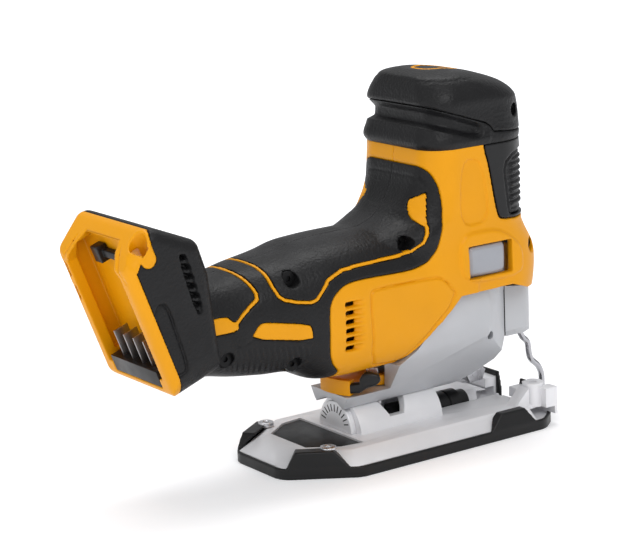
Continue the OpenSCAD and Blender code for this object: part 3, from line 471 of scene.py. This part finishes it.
CROWN_LEVELS = np.array([
    [136.4, 8.2, 68.3, 29.8, 14, 22], [138, 7.4, 68.4, 30.3, 14, 22], [141, 7.2, 68.4, 30.4, 14, 22],
    [145, 8.4, 68.4, 30, 14, 22], [149, 9.4, 68.2, 29.8, 14, 22], [153, 9.6, 67.3, 29.8, 14, 21.5],
    [157, 9.2, 65.5, 30, 14, 21], [160, 9.8, 62.6, 29.2, 14, 21], [163, 10.6, 57.6, 27.6, 14, 20],
    [166, 11.8, 49.5, 25, 13, 18], [168.6, 14, 40, 20.5, 11, 14], [170.1, 19, 31, 13, 7, 7]], float)
CAP_SEAM = [(0, 160), (9, 156.3), (31.5, 148.6), (38, 146.4), (40.6, 144.6), (42.4, 142), (57, 140.6),
            (75, 140), (75, 175), (0, 175)]
GROOVE = [(0, 158.2), (9, 154.8), (31, 146.8), (34.4, 145.6), (35.6, 143.6), (34.2, 141.4),
          (30, 141.4), (9, 148.4), (0, 150)]
BADGE = [(22, 5.6), (29, 9), (41.5, 7.8), (44, 0), (41.5, -7.8), (29, -9), (22, -5.6)]
CAP_SCREW = (56.8, 149.8)
CAP_WALL, CAP_BORE, CAP_BUSH, CAP_FLOOR = 3.4, 2.9, 4.2, 21.3
crown_low = (4.0, -32.5, 135.0)
cx, cy, cz = (np.arange(a, b, SHELL_STEP) for a, b in zip(crown_low, (71.0, 32.5, 172.0)))
CX, CY, CZ = np.meshgrid(cx, cy, cz, indexing="ij", sparse=True)
crown = even(upright(CX, CY, CZ, CROWN_LEVELS), SHELL_STEP).astype(np.float32)
CU, CV = np.meshgrid(cx, cz, indexing="ij")
cap_side = inside(CAP_SEAM, CU, CV)
groove_side = inside(rounded(GROOVE), CU, CV)
dip = 3.1 * np.clip(0.62 - groove_side / 2.6, 0, 1)
dip += 0.45 * np.clip(1 - np.abs(cap_side) / 0.6, 0, 1) * (groove_side > 0.6)
dip -= 0.5 * np.clip(1 - np.abs(CV - 139.2) / 3.5, 0, 1) * (CU < 40)
crown = crown + across(dip)
crown_wall = np.maximum(crown, -(crown + CAP_WALL))
wells = (np.hypot(CX - CAP_SCREW[0], CZ - CAP_SCREW[1]) - CAP_BORE + 0 * CY).astype(np.float32)
crown_wall = cut(crown_wall, np.maximum(wells, CAP_FLOOR - np.abs(CY)))
lining = np.hypot(CX - CAP_SCREW[0], CZ - CAP_SCREW[1]) - CAP_BUSH
lining = np.maximum(lining, np.maximum(crown + 0.4, 19 - np.abs(CY)))
crown_wall = np.minimum(crown_wall, cut(lining, np.maximum(wells, CAP_FLOOR - np.abs(CY))))
badge = inside(rounded(BADGE), *np.meshgrid(cx, cy, indexing="ij"))[:, :, None].astype(np.float32)
badge_frame = np.maximum(np.abs(badge + 0.9) - 0.9, np.abs(crown + 0.5) - 0.55)
cap_field = cut(np.maximum(crown_wall, across(cap_side + 0.08)), np.maximum(badge, -(crown + 0.25)))
collar_field = np.maximum(crown_wall, across(0.08 - cap_side))
for name, node, field, made, slot in (
        ("palm_cap", ("head_cap",), cap_field, BLACK_GRIP, "black_rubber"),
        ("finger_collar", ("grip_ring",), collar_field, BLACK_GRIP, "black_rubber"),
        ("cap_badge_frame", (), np.maximum(badge_frame, 160 - CZ), YELLOW, "yellow_plastic")):
    piece = moulded(name, field, crown_low, SHELL_STEP, made)
    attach(piece, "housing")
    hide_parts(*node)


# ---------------------------------------------------------------- front trim and release lever
# A black nylon trim wraps the head's front, and the blade release lever closes the opening in it. The
# lever's face is ribbed for the thumb, with a row of low studs down each side.
BLACK_TRIM = finish_of("black_trim", (0.006, 0.006, 0.0065),
                       rough=0.38, grain=0.7, cell=0.8, mottle=0.15, gloss=0.3)
FRONT_EDGE = [(37.1, 137), (37.2, 134), (39.3, 127.5), (43.7, 104), (46.2, 101), (90, 99.8), (90, 137)]
LEVER_EDGE = [(46.6, 131.4), (49.6, 106), (50.6, 103.2), (53, 102.2), (90, 102.2), (90, 131.4)]
FRONT_STEP = 0.8 * SHELL_STEP
TRIM_WALL, LEVER_WALL, RIB_Z, RIB_PITCH = 3, 3.4, 103.4, 2.95
STUDS, STUD_Z, STUD_PITCH = 16, 106.5, 1.45
front_low = (34.0, -33.0, 97.0)
fx, fy, fz = (np.arange(a, b, FRONT_STEP) for a, b in zip(front_low, (72.0, 33.0, 139.0)))
FX, FY, FZ = np.meshgrid(fx, fy, fz, indexing="ij", sparse=True)
FU, FV = np.meshgrid(fx, fz, indexing="ij")
front = even(upright(FX, FY, FZ, HEAD_LEVELS), FRONT_STEP).astype(np.float32)
lever_side = inside(rounded(LEVER_EDGE), FU, FV)
trim = np.maximum(np.maximum(front - 0.1, -(front + TRIM_WALL)), across(inside(rounded(FRONT_EDGE), FU, FV)))
trim = cut(np.maximum(trim, FZ - 136.3), np.maximum(across(lever_side - 0.35), -(front + 2.9)))
piece = moulded("front_trim", trim, front_low, FRONT_STEP, BLACK_TRIM)
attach(piece, "housing")
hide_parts("front_bezel")

rib_zone = np.clip(-(lever_side + 2.6) / 0.8, 0, 1) * np.clip((FU - 52.2) / 0.9, 0, 1)
rib_wave = np.clip(0.5 + 0.8 * np.sin((FV - RIB_Z) * 2 * math.pi / RIB_PITCH), 0, 1)
frame_rise = 0.5 * np.clip(1 - np.abs(lever_side + 1.7) / 0.8, 0, 1)
stud = np.zeros_like(FU)
for k in range(STUDS):
    off_stud = np.hypot(FU - 50.9 + 0.085 * (k - 8), FV - STUD_Z - STUD_PITCH * k)
    stud += 0.4 * np.clip(1 - off_stud / 0.55, 0, 1)
rise = -1.1 + 1.0 * rib_zone * rib_wave + frame_rise + stud
lever = np.maximum(np.maximum(front - across(rise), -(front + LEVER_WALL)), across(lever_side))
piece = moulded("release_lever_face", lever, front_low, FRONT_STEP, BLACK_GRIP, passes=1)
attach(piece, "release_lever")
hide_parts("blade_lever")


# ---------------------------------------------------------------- battery foot
# The rear of the saw ends in a foot that leans back: a yellow receptacle with two rails, set into a
# black shell with air slots. The contacts stand in a black block at its lower end.
FOOT_CORNERS = [(-125.5, 56.5), (-144.8, 109), (-137, 119), (-120, 112), (-116.5, 101), (-112.5, 63),
                (-117, 59)]
FOOT_HALF, FOOT_ROUND, CHIN_ROUND = 31.0, 6.0, 14.0
FOOT_LEAN, FOOT_HEEL = math.radians(20), (-130.4, 50)
SLEEVE_Y, SLEEVE_DEEP, SLEEVE_OUTER, SLEEVE_BORE = 26.6, 12, 5.4, 4.1
foot_low = (-152.0, -33.0, 48.0)
ux, uy, uz = (np.arange(a, b, SHELL_STEP) for a, b in zip(foot_low, (-104.0, 33.0, 127.0)))
UX, UY, UZ = np.meshgrid(ux, uy, uz, indexing="ij", sparse=True)
SU, SV = np.meshgrid(ux, uz, indexing="ij")
side_plan = inside(FOOT_CORNERS, SU, SV)[:, None, :].astype(np.float32)
flank = (np.abs(UY) - (FOOT_HALF - FOOT_ROUND)).astype(np.float32)
FOOT = np.hypot(np.maximum(side_plan, 0), np.maximum(flank, 0))
FOOT = FOOT + np.minimum(np.maximum(side_plan, flank), 0) - FOOT_ROUND
deep = (UX - FOOT_HEEL[0]) * math.cos(FOOT_LEAN) + (UZ - FOOT_HEEL[1]) * math.sin(FOOT_LEAN)
up = -(UX - FOOT_HEEL[0]) * math.sin(FOOT_LEAN) + (UZ - FOOT_HEEL[1]) * math.cos(FOOT_LEAN)
chin_y, chin_up = np.abs(UY) - FOOT_HALF + CHIN_ROUND, CHIN_ROUND - 1.6 - up
chin = np.hypot(np.maximum(chin_y, 0), np.maximum(chin_up, 0)) - CHIN_ROUND
FOOT = np.maximum(FOOT, chin)
brow = ((deep - 0.6) * 11 - (up - 62) * 11.4) / 15.84
FRONT_DEPTH = np.minimum(deep - 0.3, brow) + 0 * UY
mouth_v = np.maximum(8.6 - up, up - 69.4)
mouth_h = np.abs(UY) - np.clip(22.5 - 0.75 * (up - 58), 13.5, 22.5)
mouth = np.maximum(mouth_v, mouth_h)
cavity = np.maximum(mouth, deep - 13.6)
rail_slot = np.maximum(np.abs(UY) - 25.6, np.maximum(12 - up, up - 66))
rail_slot = np.maximum(rail_slot, np.maximum(6 - deep, deep - 13.4))
cavity = np.minimum(cavity, rail_slot)
for s0, s1 in ((50.5, 57.5), (39, 46)):
    pocket = np.maximum(np.abs(UY - 26) - 1.8, np.abs(up - (s0 + s1) / 2) - (s1 - s0) / 2)
    pocket = np.maximum(pocket, deep - 5)
    cavity = np.minimum(cavity, pocket)
throat = np.maximum(np.hypot(UY + SLEEVE_Y, deep - SLEEVE_DEEP) - SLEEVE_BORE,
                    np.hypot(UY + SLEEVE_Y, np.maximum(62 - up, 0)) - SLEEVE_BORE)
receptacle = np.minimum(np.maximum(FOOT, FRONT_DEPTH - 4.7), np.maximum(FOOT + 3, deep - 16.3))
sleeve = np.hypot(UY + SLEEVE_Y, deep - SLEEVE_DEEP)
sleeve = np.maximum(np.hypot(sleeve, np.maximum(62.5 - up, 0)) - SLEEVE_OUTER, FOOT - 0.1)
receptacle = np.minimum(receptacle, sleeve)
receptacle = cut(cut(receptacle, cavity), throat)
rim_line = np.clip(1 - np.abs(mouth - 3.2) / 0.9, 0, 1) * (up > 56)
receptacle = np.maximum(receptacle, 1.0 * rim_line - FRONT_DEPTH)
contact_gap = np.maximum(np.abs(UY) - 19.4, np.abs(up - 8) - 4.1)
receptacle = cut(receptacle, np.maximum(contact_gap, np.maximum(-2 - deep, deep - 17)))
piece = moulded("battery_cradle", receptacle, foot_low, SHELL_STEP, YELLOW)
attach(piece, "housing")
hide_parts("battery_receptacle")

inset = inside(rounded([(-139.4, 90), (-137.3, 93.6), (-133.6, 93.4), (-131.6, 90), (-124.2, 65.6),
                        (-125, 62), (-128.6, 60.7), (-132, 61.8)]), SU, SV)
air = inside(rounded([(-126.4, 112.6), (-122.6, 112.4), (-115.4, 87), (-118.9, 86.4)], 1), SU, SV)
carve = 0.9 * np.clip(0.5 - inset / 0.6, 0, 1) + 0.7 * np.clip(1 - np.abs(inset + 0.5) / 0.7, 0, 1)
rungs = np.clip(0.5 + 1.4 * np.sin((SV + 0.26 * SU) * 2 * math.pi / 3.9), 0, 1)
carve = carve + np.clip(0.5 - air / 0.9, 0, 1) * (1.6 + 2.6 * rungs)
shell = np.maximum(FOOT + across(carve), 4.8 - FRONT_DEPTH)
shell = cut(shell, np.maximum(FOOT + 3.05, deep - 16.4))
shell = cut(shell, sleeve - 0.1)
shell = np.maximum(shell, -(FOOT + 6.5))
piece = moulded("foot_cover", shell, foot_low, SHELL_STEP, BLACK_GRIP)
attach(piece, "housing")
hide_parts("foot_shell")

BLACK_SMOOTH = finish_of("black_nylon", (0.007, 0.007, 0.0075),
                         rough=0.38, grain=0.7, cell=0.8, mottle=0.15, gloss=0.3)
TINNED = finish_of("tinned_contacts", (0.30, 0.29, 0.29),
                   rough=0.36, metal=1.0, grain=0.3, cell=0.3, mottle=0.1)


def soften(node, name, width, made, body, segments=3, angle=34):
    """The node's form with its edges rounded, as one plain mesh; width in mm."""
    source = frame["nodes"][node]
    form = bmesh.new()
    form.from_mesh(source.data)
    form.transform(source.matrix_world)
    bmesh.ops.remove_doubles(form, verts=form.verts, dist=0.00002)
    bmesh.ops.dissolve_limit(form, angle_limit=math.radians(1.5), verts=form.verts, edges=form.edges)
    mesh = bpy.data.meshes.new(name)
    form.to_mesh(mesh)
    form.free()
    piece = bpy.data.objects.new(name, mesh)
    bpy.context.scene.collection.objects.link(piece)
    edge = piece.modifiers.new("rounding", "BEVEL")
    edge.width = width * MM
    edge.segments = segments
    edge.limit_method = "ANGLE"
    edge.angle_limit = math.radians(angle)
    edge.miter_outer = "MITER_ARC"
    edge.harden_normals = False
    done = bpy.data.meshes.new_from_object(piece.evaluated_get(bpy.context.evaluated_depsgraph_get()))
    piece.modifiers.clear()
    piece.data = done
    done.materials.clear()
    done.materials.append(made)
    done.polygons.foreach_set("use_smooth", np.ones(len(done.polygons), bool))
    done.set_sharp_from_angle(angle=math.radians(38))
    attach(piece, body)
    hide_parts(node)
    return piece


for node, name, width, made, slot in (
        ("terminal_block", "contact_block", 0.5, BLACK_SMOOTH, "black_plastic"),
        ("terminal_blades", "contact_blades", 0.12, TINNED, "steel"),
        ("latch_strip", "latch_catch", 0.4, BLACK_SMOOTH, "steel")):
    soften(node, name, width, made, "housing", segments=2)


# ---------------------------------------------------------------- gearcase
# A die-cast aluminium case between the shells and the shoe. Its lower end is a round saddle that the
# shoe turns in, with planed flanks that lean in towards it.
CAST = finish_of("silver_casting", (0.45, 0.46, 0.48),
                 rough=0.42, metal=0.35, grain=0.7, cell=0.5, mottle=0.04)
soften("gearcase", "cast_gearcase", 0.9, CAST, "housing")


# ---------------------------------------------------------------- front cover
# A painted metal plate over the front of the gearcase. Its edges are well rounded, and sunk screws
# hold it on a thin black gasket.
COVER = finish_of("pale_painted_cover", (0.47, 0.48, 0.50), rough=0.4, metal=0.05, grain=0.5, mottle=0.03)
soften("front_cover", "painted_cover", 1.6, COVER, "housing", segments=4)
soften("front_gasket", "cover_gasket", 0.15, BLACK_SMOOTH, "housing", segments=1)


# ---------------------------------------------------------------- finger guard
# One bright plated wire in front of the blade, which keeps fingers off it. It is bent in a double
# curve and pressed into the cover's lower face.
def wire_tree():
    """A tube swept along the wire's points, with its radius in metres as an input."""
    tree = bpy.data.node_groups.new("swept_wire", "GeometryNodeTree")
    for way, label, kind in (
            ("INPUT", "Line", "NodeSocketGeometry"), ("INPUT", "Radius", "NodeSocketFloat"),
            ("INPUT", "Finish", "NodeSocketMaterial"), ("OUTPUT", "Wire", "NodeSocketGeometry")):
        tree.interface.new_socket(label, in_out=way, socket_type=kind)
    start, end = tree.nodes.new("NodeGroupInput"), tree.nodes.new("NodeGroupOutput")
    line = tree.nodes.new("GeometryNodeMeshToCurve")
    kind = tree.nodes.new("GeometryNodeCurveSplineType")
    kind.spline_type = "CATMULL_ROM"
    steps = tree.nodes.new("GeometryNodeResampleCurve")
    steps.inputs["Count"].default_value = 90
    ring = tree.nodes.new("GeometryNodeCurvePrimitiveCircle")
    ring.inputs["Resolution"].default_value = 20
    sweep = tree.nodes.new("GeometryNodeCurveToMesh")
    sweep.inputs["Fill Caps"].default_value = True
    smooth = tree.nodes.new("GeometryNodeSetShadeSmooth")
    real = tree.nodes.new("GeometryNodeRealizeInstances")
    paint = tree.nodes.new("GeometryNodeSetMaterial")
    link = tree.links.new
    link(start.outputs["Line"], line.inputs["Mesh"])
    link(line.outputs["Curve"], kind.inputs["Curve"])
    link(kind.outputs["Curve"], steps.inputs["Curve"])
    link(steps.outputs["Curve"], sweep.inputs["Curve"])
    link(start.outputs["Radius"], ring.inputs["Radius"])
    link(ring.outputs["Curve"], sweep.inputs["Profile Curve"])
    link(sweep.outputs["Mesh"], smooth.inputs["Geometry"])
    link(smooth.outputs["Geometry"], real.inputs["Geometry"])
    link(real.outputs["Geometry"], paint.inputs["Geometry"])
    link(start.outputs["Finish"], paint.inputs["Material"])
    link(paint.outputs["Geometry"], end.inputs["Wire"])
    return tree


def grown(name, tree, points, edges, settings):
    """The plain mesh that a node tree makes from loose points, its inputs set by socket name."""
    mesh = bpy.data.meshes.new(name)
    mesh.from_pydata([tuple(c * MM for c in p) for p in points], edges, [])
    piece = bpy.data.objects.new(name, mesh)
    bpy.context.scene.collection.objects.link(piece)
    maker = piece.modifiers.new("maker", "NODES")
    maker.node_group = tree
    for socket in tree.interface.items_tree:
        if socket.in_out == "INPUT" and socket.name in settings:
            maker[socket.identifier] = settings[socket.name]
    done = bpy.data.meshes.new_from_object(piece.evaluated_get(bpy.context.evaluated_depsgraph_get()))
    piece.modifiers.clear()
    piece.data = done
    return piece


CHROME = finish_of("bright_wire", (0.42, 0.42, 0.44), rough=0.2, metal=1.0, grain=0.2, mottle=0.02)
GUARD_LINE = [(74, -6, 46), (74.3, -6, 40), (76.2, -6, 35.6), (79.4, -6, 32), (80.3, -6, 26.5),
              (81.6, -6, 23.2), (85.6, -6, 19.4), (87.6, -6, 15.4), (88, -6, 11.5), (88, -6, 8.5)]
guard = grown("guard_wire", wire_tree(), GUARD_LINE, [(k, k + 1) for k in range(len(GUARD_LINE) - 1)],
              {"Radius": 1.45 * MM, "Finish": CHROME})
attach(guard, "housing")
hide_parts("finger_guard")


# ---------------------------------------------------------------- shoe
# A die-cast tray with sloping flanks and a round ridge down its middle. A black plastic sole clips
# over its edge with tall tabs, and a dark panel and two screws lie in its rear.
# A lighter copy of the silver casting finish, as painted light: the shoe and its angle disc are made paler
# to offset the shade that the body casts on them.
SHADE_LIFTED_CASTING = finish_of("shade_lifted_casting", (0.76, 0.76, 0.78),
                    rough=0.36, metal=0.3, grain=0.7, cell=0.5, mottle=0.04)
STEEL = finish_of("bright_steel", (0.62, 0.62, 0.64),
                  rough=0.28, metal=1.0, grain=0.4, cell=0.3, mottle=0.05)
soften("shoe_plate", "cast_shoe", 0.7, SHADE_LIFTED_CASTING, "shoe")
soften("rear_insert", "rear_panel", 0.3, BLACK_SMOOTH, "shoe", segments=2)
soften("shoe_screws", "sole_screws", 0.3, STEEL, "shoe", segments=2)

SOLE_LOW, SOLE_WALL, STRIP_Z, TAB_Z = (-75.0, -41.0, -1.5), 1.65, 5.0, 12.0
SOLE_CORNER = 10.0
SOLE_PLAN = [(-63.5, -13.3), (-63.5, 13.3), (-40.6, 29), (59, 29), (63.5, 25.5), (63.5, -25.5),
             (59, -29), (-40.6, -29)]
sx, sy, sz = (np.arange(a, b, SHELL_STEP) for a, b in zip(SOLE_LOW, (75.5, 41.5, 18.0)))
LX, LY, LZ = np.meshgrid(sx, sy, sz, indexing="ij", sparse=True)
PU, PV = np.meshgrid(sx, sy, indexing="ij")
edge_of = inside(SOLE_PLAN, PU, PV) - SOLE_CORNER
tab_rise = np.where(np.abs(PV) > 33, np.interp(PU, [30, 37, 51, 56.5], [0, 1, 1, 0]), 0)
corner_run = (PU + 73.5) * 0.8 + (np.abs(PV) - 17.8) * 0.6
rear_rise = np.interp(corner_run, [3, 7, 24, 33.5], [0, 1, 1, -0.3]) * (PU < -44.8)
toe_rise = np.where(PU > 71, np.interp(np.abs(PV), [6, 8.5, 31.5, 34], [0, 1, 1, 0]), 0)
height = STRIP_Z + (TAB_Z - STRIP_Z) * np.maximum(tab_rise, rear_rise) + 11 * toe_rise
leaning = 0.94 * np.clip(LZ - STRIP_Z, 0, 30)
toe_flat = 1 - np.clip((PU - 66) / 3, 0, 1)[:, :, None]
inner = np.maximum(edge_of[:, :, None] + SOLE_WALL + leaning * toe_flat, SOLE_WALL - LZ)
outer = edge_of[:, :, None] + 0.22 * np.clip(LZ - STRIP_Z, 0, 30) * toe_flat
sole = np.maximum(outer, LZ - height[:, :, None])
sole = cut(np.maximum(sole, -LZ), inner)
sole = cut(sole, np.maximum(np.maximum(40.6 - LX, np.abs(LY) - 6.4), LZ - 30))
piece = moulded("sole_skirt", sole, SOLE_LOW, SHELL_STEP, BLACK_SMOOTH, passes=1)
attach(piece, "shoe")
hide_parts("sole_cover")


# ---------------------------------------------------------------- protractor
# A cast disc on the rear end of the shoe's ridge. Its engraved lines, one every fifteen degrees, are
# filled in black.
# The disc takes the shoe's lightened casting finish, which is painted light.
soften("bevel_scale", "angle_disc", 0.5, SHADE_LIFTED_CASTING, "shoe")


def tick_tree():
    """Bars set on the given points, each turned outwards from the disc's centre."""
    tree = bpy.data.node_groups.new("scale_ticks", "GeometryNodeTree")
    for way, label, kind in (
            ("INPUT", "Places", "NodeSocketGeometry"), ("INPUT", "Bar", "NodeSocketVector"),
            ("INPUT", "Centre", "NodeSocketVector"), ("INPUT", "Finish", "NodeSocketMaterial"),
            ("OUTPUT", "Ticks", "NodeSocketGeometry")):
        tree.interface.new_socket(label, in_out=way, socket_type=kind)
    start, end = tree.nodes.new("NodeGroupInput"), tree.nodes.new("NodeGroupOutput")
    bar = tree.nodes.new("GeometryNodeMeshCube")
    here = tree.nodes.new("GeometryNodeInputPosition")
    out = tree.nodes.new("ShaderNodeVectorMath")
    out.operation = "SUBTRACT"
    turn = tree.nodes.new("FunctionNodeAlignRotationToVector")
    turn.axis = "Z"
    put = tree.nodes.new("GeometryNodeInstanceOnPoints")
    real = tree.nodes.new("GeometryNodeRealizeInstances")
    paint = tree.nodes.new("GeometryNodeSetMaterial")
    link = tree.links.new
    link(start.outputs["Bar"], bar.inputs["Size"])
    link(here.outputs["Position"], out.inputs[0])
    link(start.outputs["Centre"], out.inputs[1])
    link(out.outputs["Vector"], turn.inputs["Vector"])
    link(start.outputs["Places"], put.inputs["Points"])
    link(bar.outputs["Mesh"], put.inputs["Instance"])
    link(turn.outputs["Rotation"], put.inputs["Rotation"])
    link(put.outputs["Instances"], real.inputs["Geometry"])
    link(real.outputs["Geometry"], paint.inputs["Geometry"])
    link(start.outputs["Finish"], paint.inputs["Material"])
    link(paint.outputs["Geometry"], end.inputs["Ticks"])
    return tree


DISC_X, DISC_Z, TICK_RADIUS = -30.42, 12.4, 9.2
TICK_ANGLES = [math.radians(a) for a in range(-75, 76, 15)]
TICK_PLACES = [(DISC_X, TICK_RADIUS * math.sin(a), DISC_Z + (TICK_RADIUS - 1.2) * math.cos(a))
               for a in TICK_ANGLES]
TICK_BAR = (0.16 * MM, 0.55 * MM, 3.4 * MM)
ticks = grown("scale_ticks", tick_tree(), TICK_PLACES, [],
              {"Bar": TICK_BAR, "Centre": (DISC_X * MM, 0, DISC_Z * MM), "Finish": BLACK_SMOOTH})
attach(ticks, "shoe")


# ---------------------------------------------------------------- bevel clamp
# A yellow crescent lever on a bolt locks the shoe's angle. It ends in a black thumb pad, and the
# bolt pulls up a black barrel that lies in the ridge.
soften("bevel_lever", "clamp_lever", 0.6, YELLOW, "lever")
soften("lever_nut", "clamp_nut", 0.3, STEEL, "lever", segments=2)
soften("clamp_barrel", "black_barrel", 0.5, BLACK_SMOOTH, "housing")
PAD_LOW, PAD_STEP = (-40.0, -32.0, 27.0), 0.45
PAD_RADIUS, PAD_HALF, PAD_ROUND, PAD_ANGLE = 26.2, 2.2, 1.3, -132
qx, qy, qz = (np.arange(a, b, PAD_STEP) for a, b in zip(PAD_LOW, (-8.0, -4.0, 42.0)))
QX, QY, QZ = np.meshgrid(qx, qy, qz, indexing="ij", sparse=True)
turn_run = (np.arctan2(QY, QX + 6) - math.radians(PAD_ANGLE)) * PAD_RADIUS + 0 * QZ
rise_run = QZ + 0 * turn_run
PAD_TOP = [(-4.8, 33), (-5, 37), (-2.5, 40.4), (3.5, 39.6), (4.8, 36.6), (2.4, 33.8)]
PAD_TAIL = [(-11.5, 29.6), (-11.5, 34.2), (-3, 35.8), (0, 34), (-5, 30.4)]
pad_side = np.minimum(inside(rounded(PAD_TOP), turn_run, rise_run), inside(PAD_TAIL, turn_run, rise_run))
pad_flank = np.abs(np.hypot(QX + 6, QY) - PAD_RADIUS) - PAD_HALF + 0 * QZ
pad = np.hypot(np.maximum(pad_side + PAD_ROUND, 0), np.maximum(pad_flank + PAD_ROUND, 0))
pad = pad + np.minimum(np.maximum(pad_side + PAD_ROUND, pad_flank + PAD_ROUND), 0) - PAD_ROUND
piece = moulded("lever_pad", pad, PAD_LOW, PAD_STEP, BLACK_SMOOTH, passes=1)
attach(piece, "lever")


# ---------------------------------------------------------------- switch
# A grey sliding button of nylon in each flank. A bar through the head joins the two and works the
# switch behind it.
GREY = finish_of("grey_button", (0.30, 0.31, 0.34), rough=0.4, grain=0.6)
BUTTON_LOW, BUTTON_STEP, BUTTON_ROUND = (25.0, -32.5, 75.5), 0.45, 2.2
bx, by, bz = (np.arange(a, b, BUTTON_STEP) for a, b in zip(BUTTON_LOW, (49.5, -25.0, 92.5)))
BX, BY, BZ = np.meshgrid(bx, by, bz, indexing="ij", sparse=True)
across_x, across_z = np.abs(BX - 36.9) - 10.3, np.abs(BZ - 83.7) - 6.9
button = np.hypot(np.maximum(across_x + BUTTON_ROUND, 0), np.maximum(across_z + BUTTON_ROUND, 0))
button = button + np.minimum(np.maximum(across_x, across_z) + BUTTON_ROUND, 0) - BUTTON_ROUND
crown_out = -30.75 + 0.55 * ((BX - 37) / 10.3) ** 2 + 0.35 * ((BZ - 83.7) / 7) ** 2
button = np.maximum(button, np.maximum((crown_out + 0.9 * np.clip(1 + button / 1.5, 0, 1) - BY), BY + 26.6))
points, faces = skin(button + 0 * BY, BUTTON_LOW, BUTTON_STEP)
points = ease(points, faces, 1)
for name, node, side in (
        ("slide_button_right", "switch_button_right", 1),
        ("slide_button_left", "switch_button_left", -1)):
    piece = mesh_from(name, points * (1, side, 1), faces if side > 0 else faces[:, ::-1], GREY)
    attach(piece, "switch_slide")
    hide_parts(node)
soften("switch_bar", "button_bar", 0.3, BLACK_SMOOTH, "switch_slide", segments=1)
soften("switch_module", "switch_body", 0.4, BLACK_SMOOTH, "housing", segments=2)


# ---------------------------------------------------------------- speed dial and orbit knob
# Two black controls in the left flank: a ribbed thumb wheel for the speed, and a pointer knob for the
# blade's forward swing.
soften("speed_dial", "thumb_wheel", 0.25, BLACK_SMOOTH, "dial", segments=2)
soften("orbit_knob", "pointer_knob", 0.4, BLACK_SMOOTH, "orbit_selector", segments=2)


# ---------------------------------------------------------------- drive and motor
# The mechanism inside, with its screws, board and lamp. Shafts, gear, yoke, plunger and roller fork are
# steel, the blade clamp and case screws blackened steel, the bushes bronze, the windings copper, and
# the fan and end bell nylon. Their forms come from the CAD as they are.
def dress(node, made):
    """A CAD node carried over as it is, in a finish."""
    piece = frame["nodes"][node]
    piece.data.materials.clear()
    piece.data.materials.append(made)


for node in ("motor_fan", "motor_end_bell"):
    dress(node, BLACK_SMOOTH)
for node in ("plunger_rod", "scotch_yoke", "drive_gear", "crank_pin", "counterweight", "gear_axle",
             "lever_pin", "motor_bearings", "motor_shaft", "motor_stator", "rotor_core", "pinion",
             "clamp_bolt", "fork_pin", "roller_fork", "roller_pin", "guide_roller", "cover_screws"):
    dress(node, STEEL)
DARK_STEEL = finish_of("dark_steel", (0.005, 0.005, 0.0055),
                       rough=0.45, metal=0.2, grain=0.5, mottle=0.1, gloss=0.2)
for node in ("blade_clamp", "housing_screws", "cap_screws"):
    dress(node, DARK_STEEL)
BRONZE = finish_of("sintered_bronze", (0.42, 0.24, 0.09), rough=0.5, metal=0.9, grain=0.8)
dress("plunger_bushes", BRONZE)
COPPER = finish_of("enamelled_copper", (0.45, 0.16, 0.06), rough=0.35, metal=0.9)
dress("stator_windings", COPPER)
BOARD = finish_of("coated_board", (0.02, 0.12, 0.05), rough=0.4)
dress("control_board", BOARD)
LENS = finish_of("led_lens", (0.8, 0.83, 0.86), rough=0.12)
dress("led_lens", LENS)
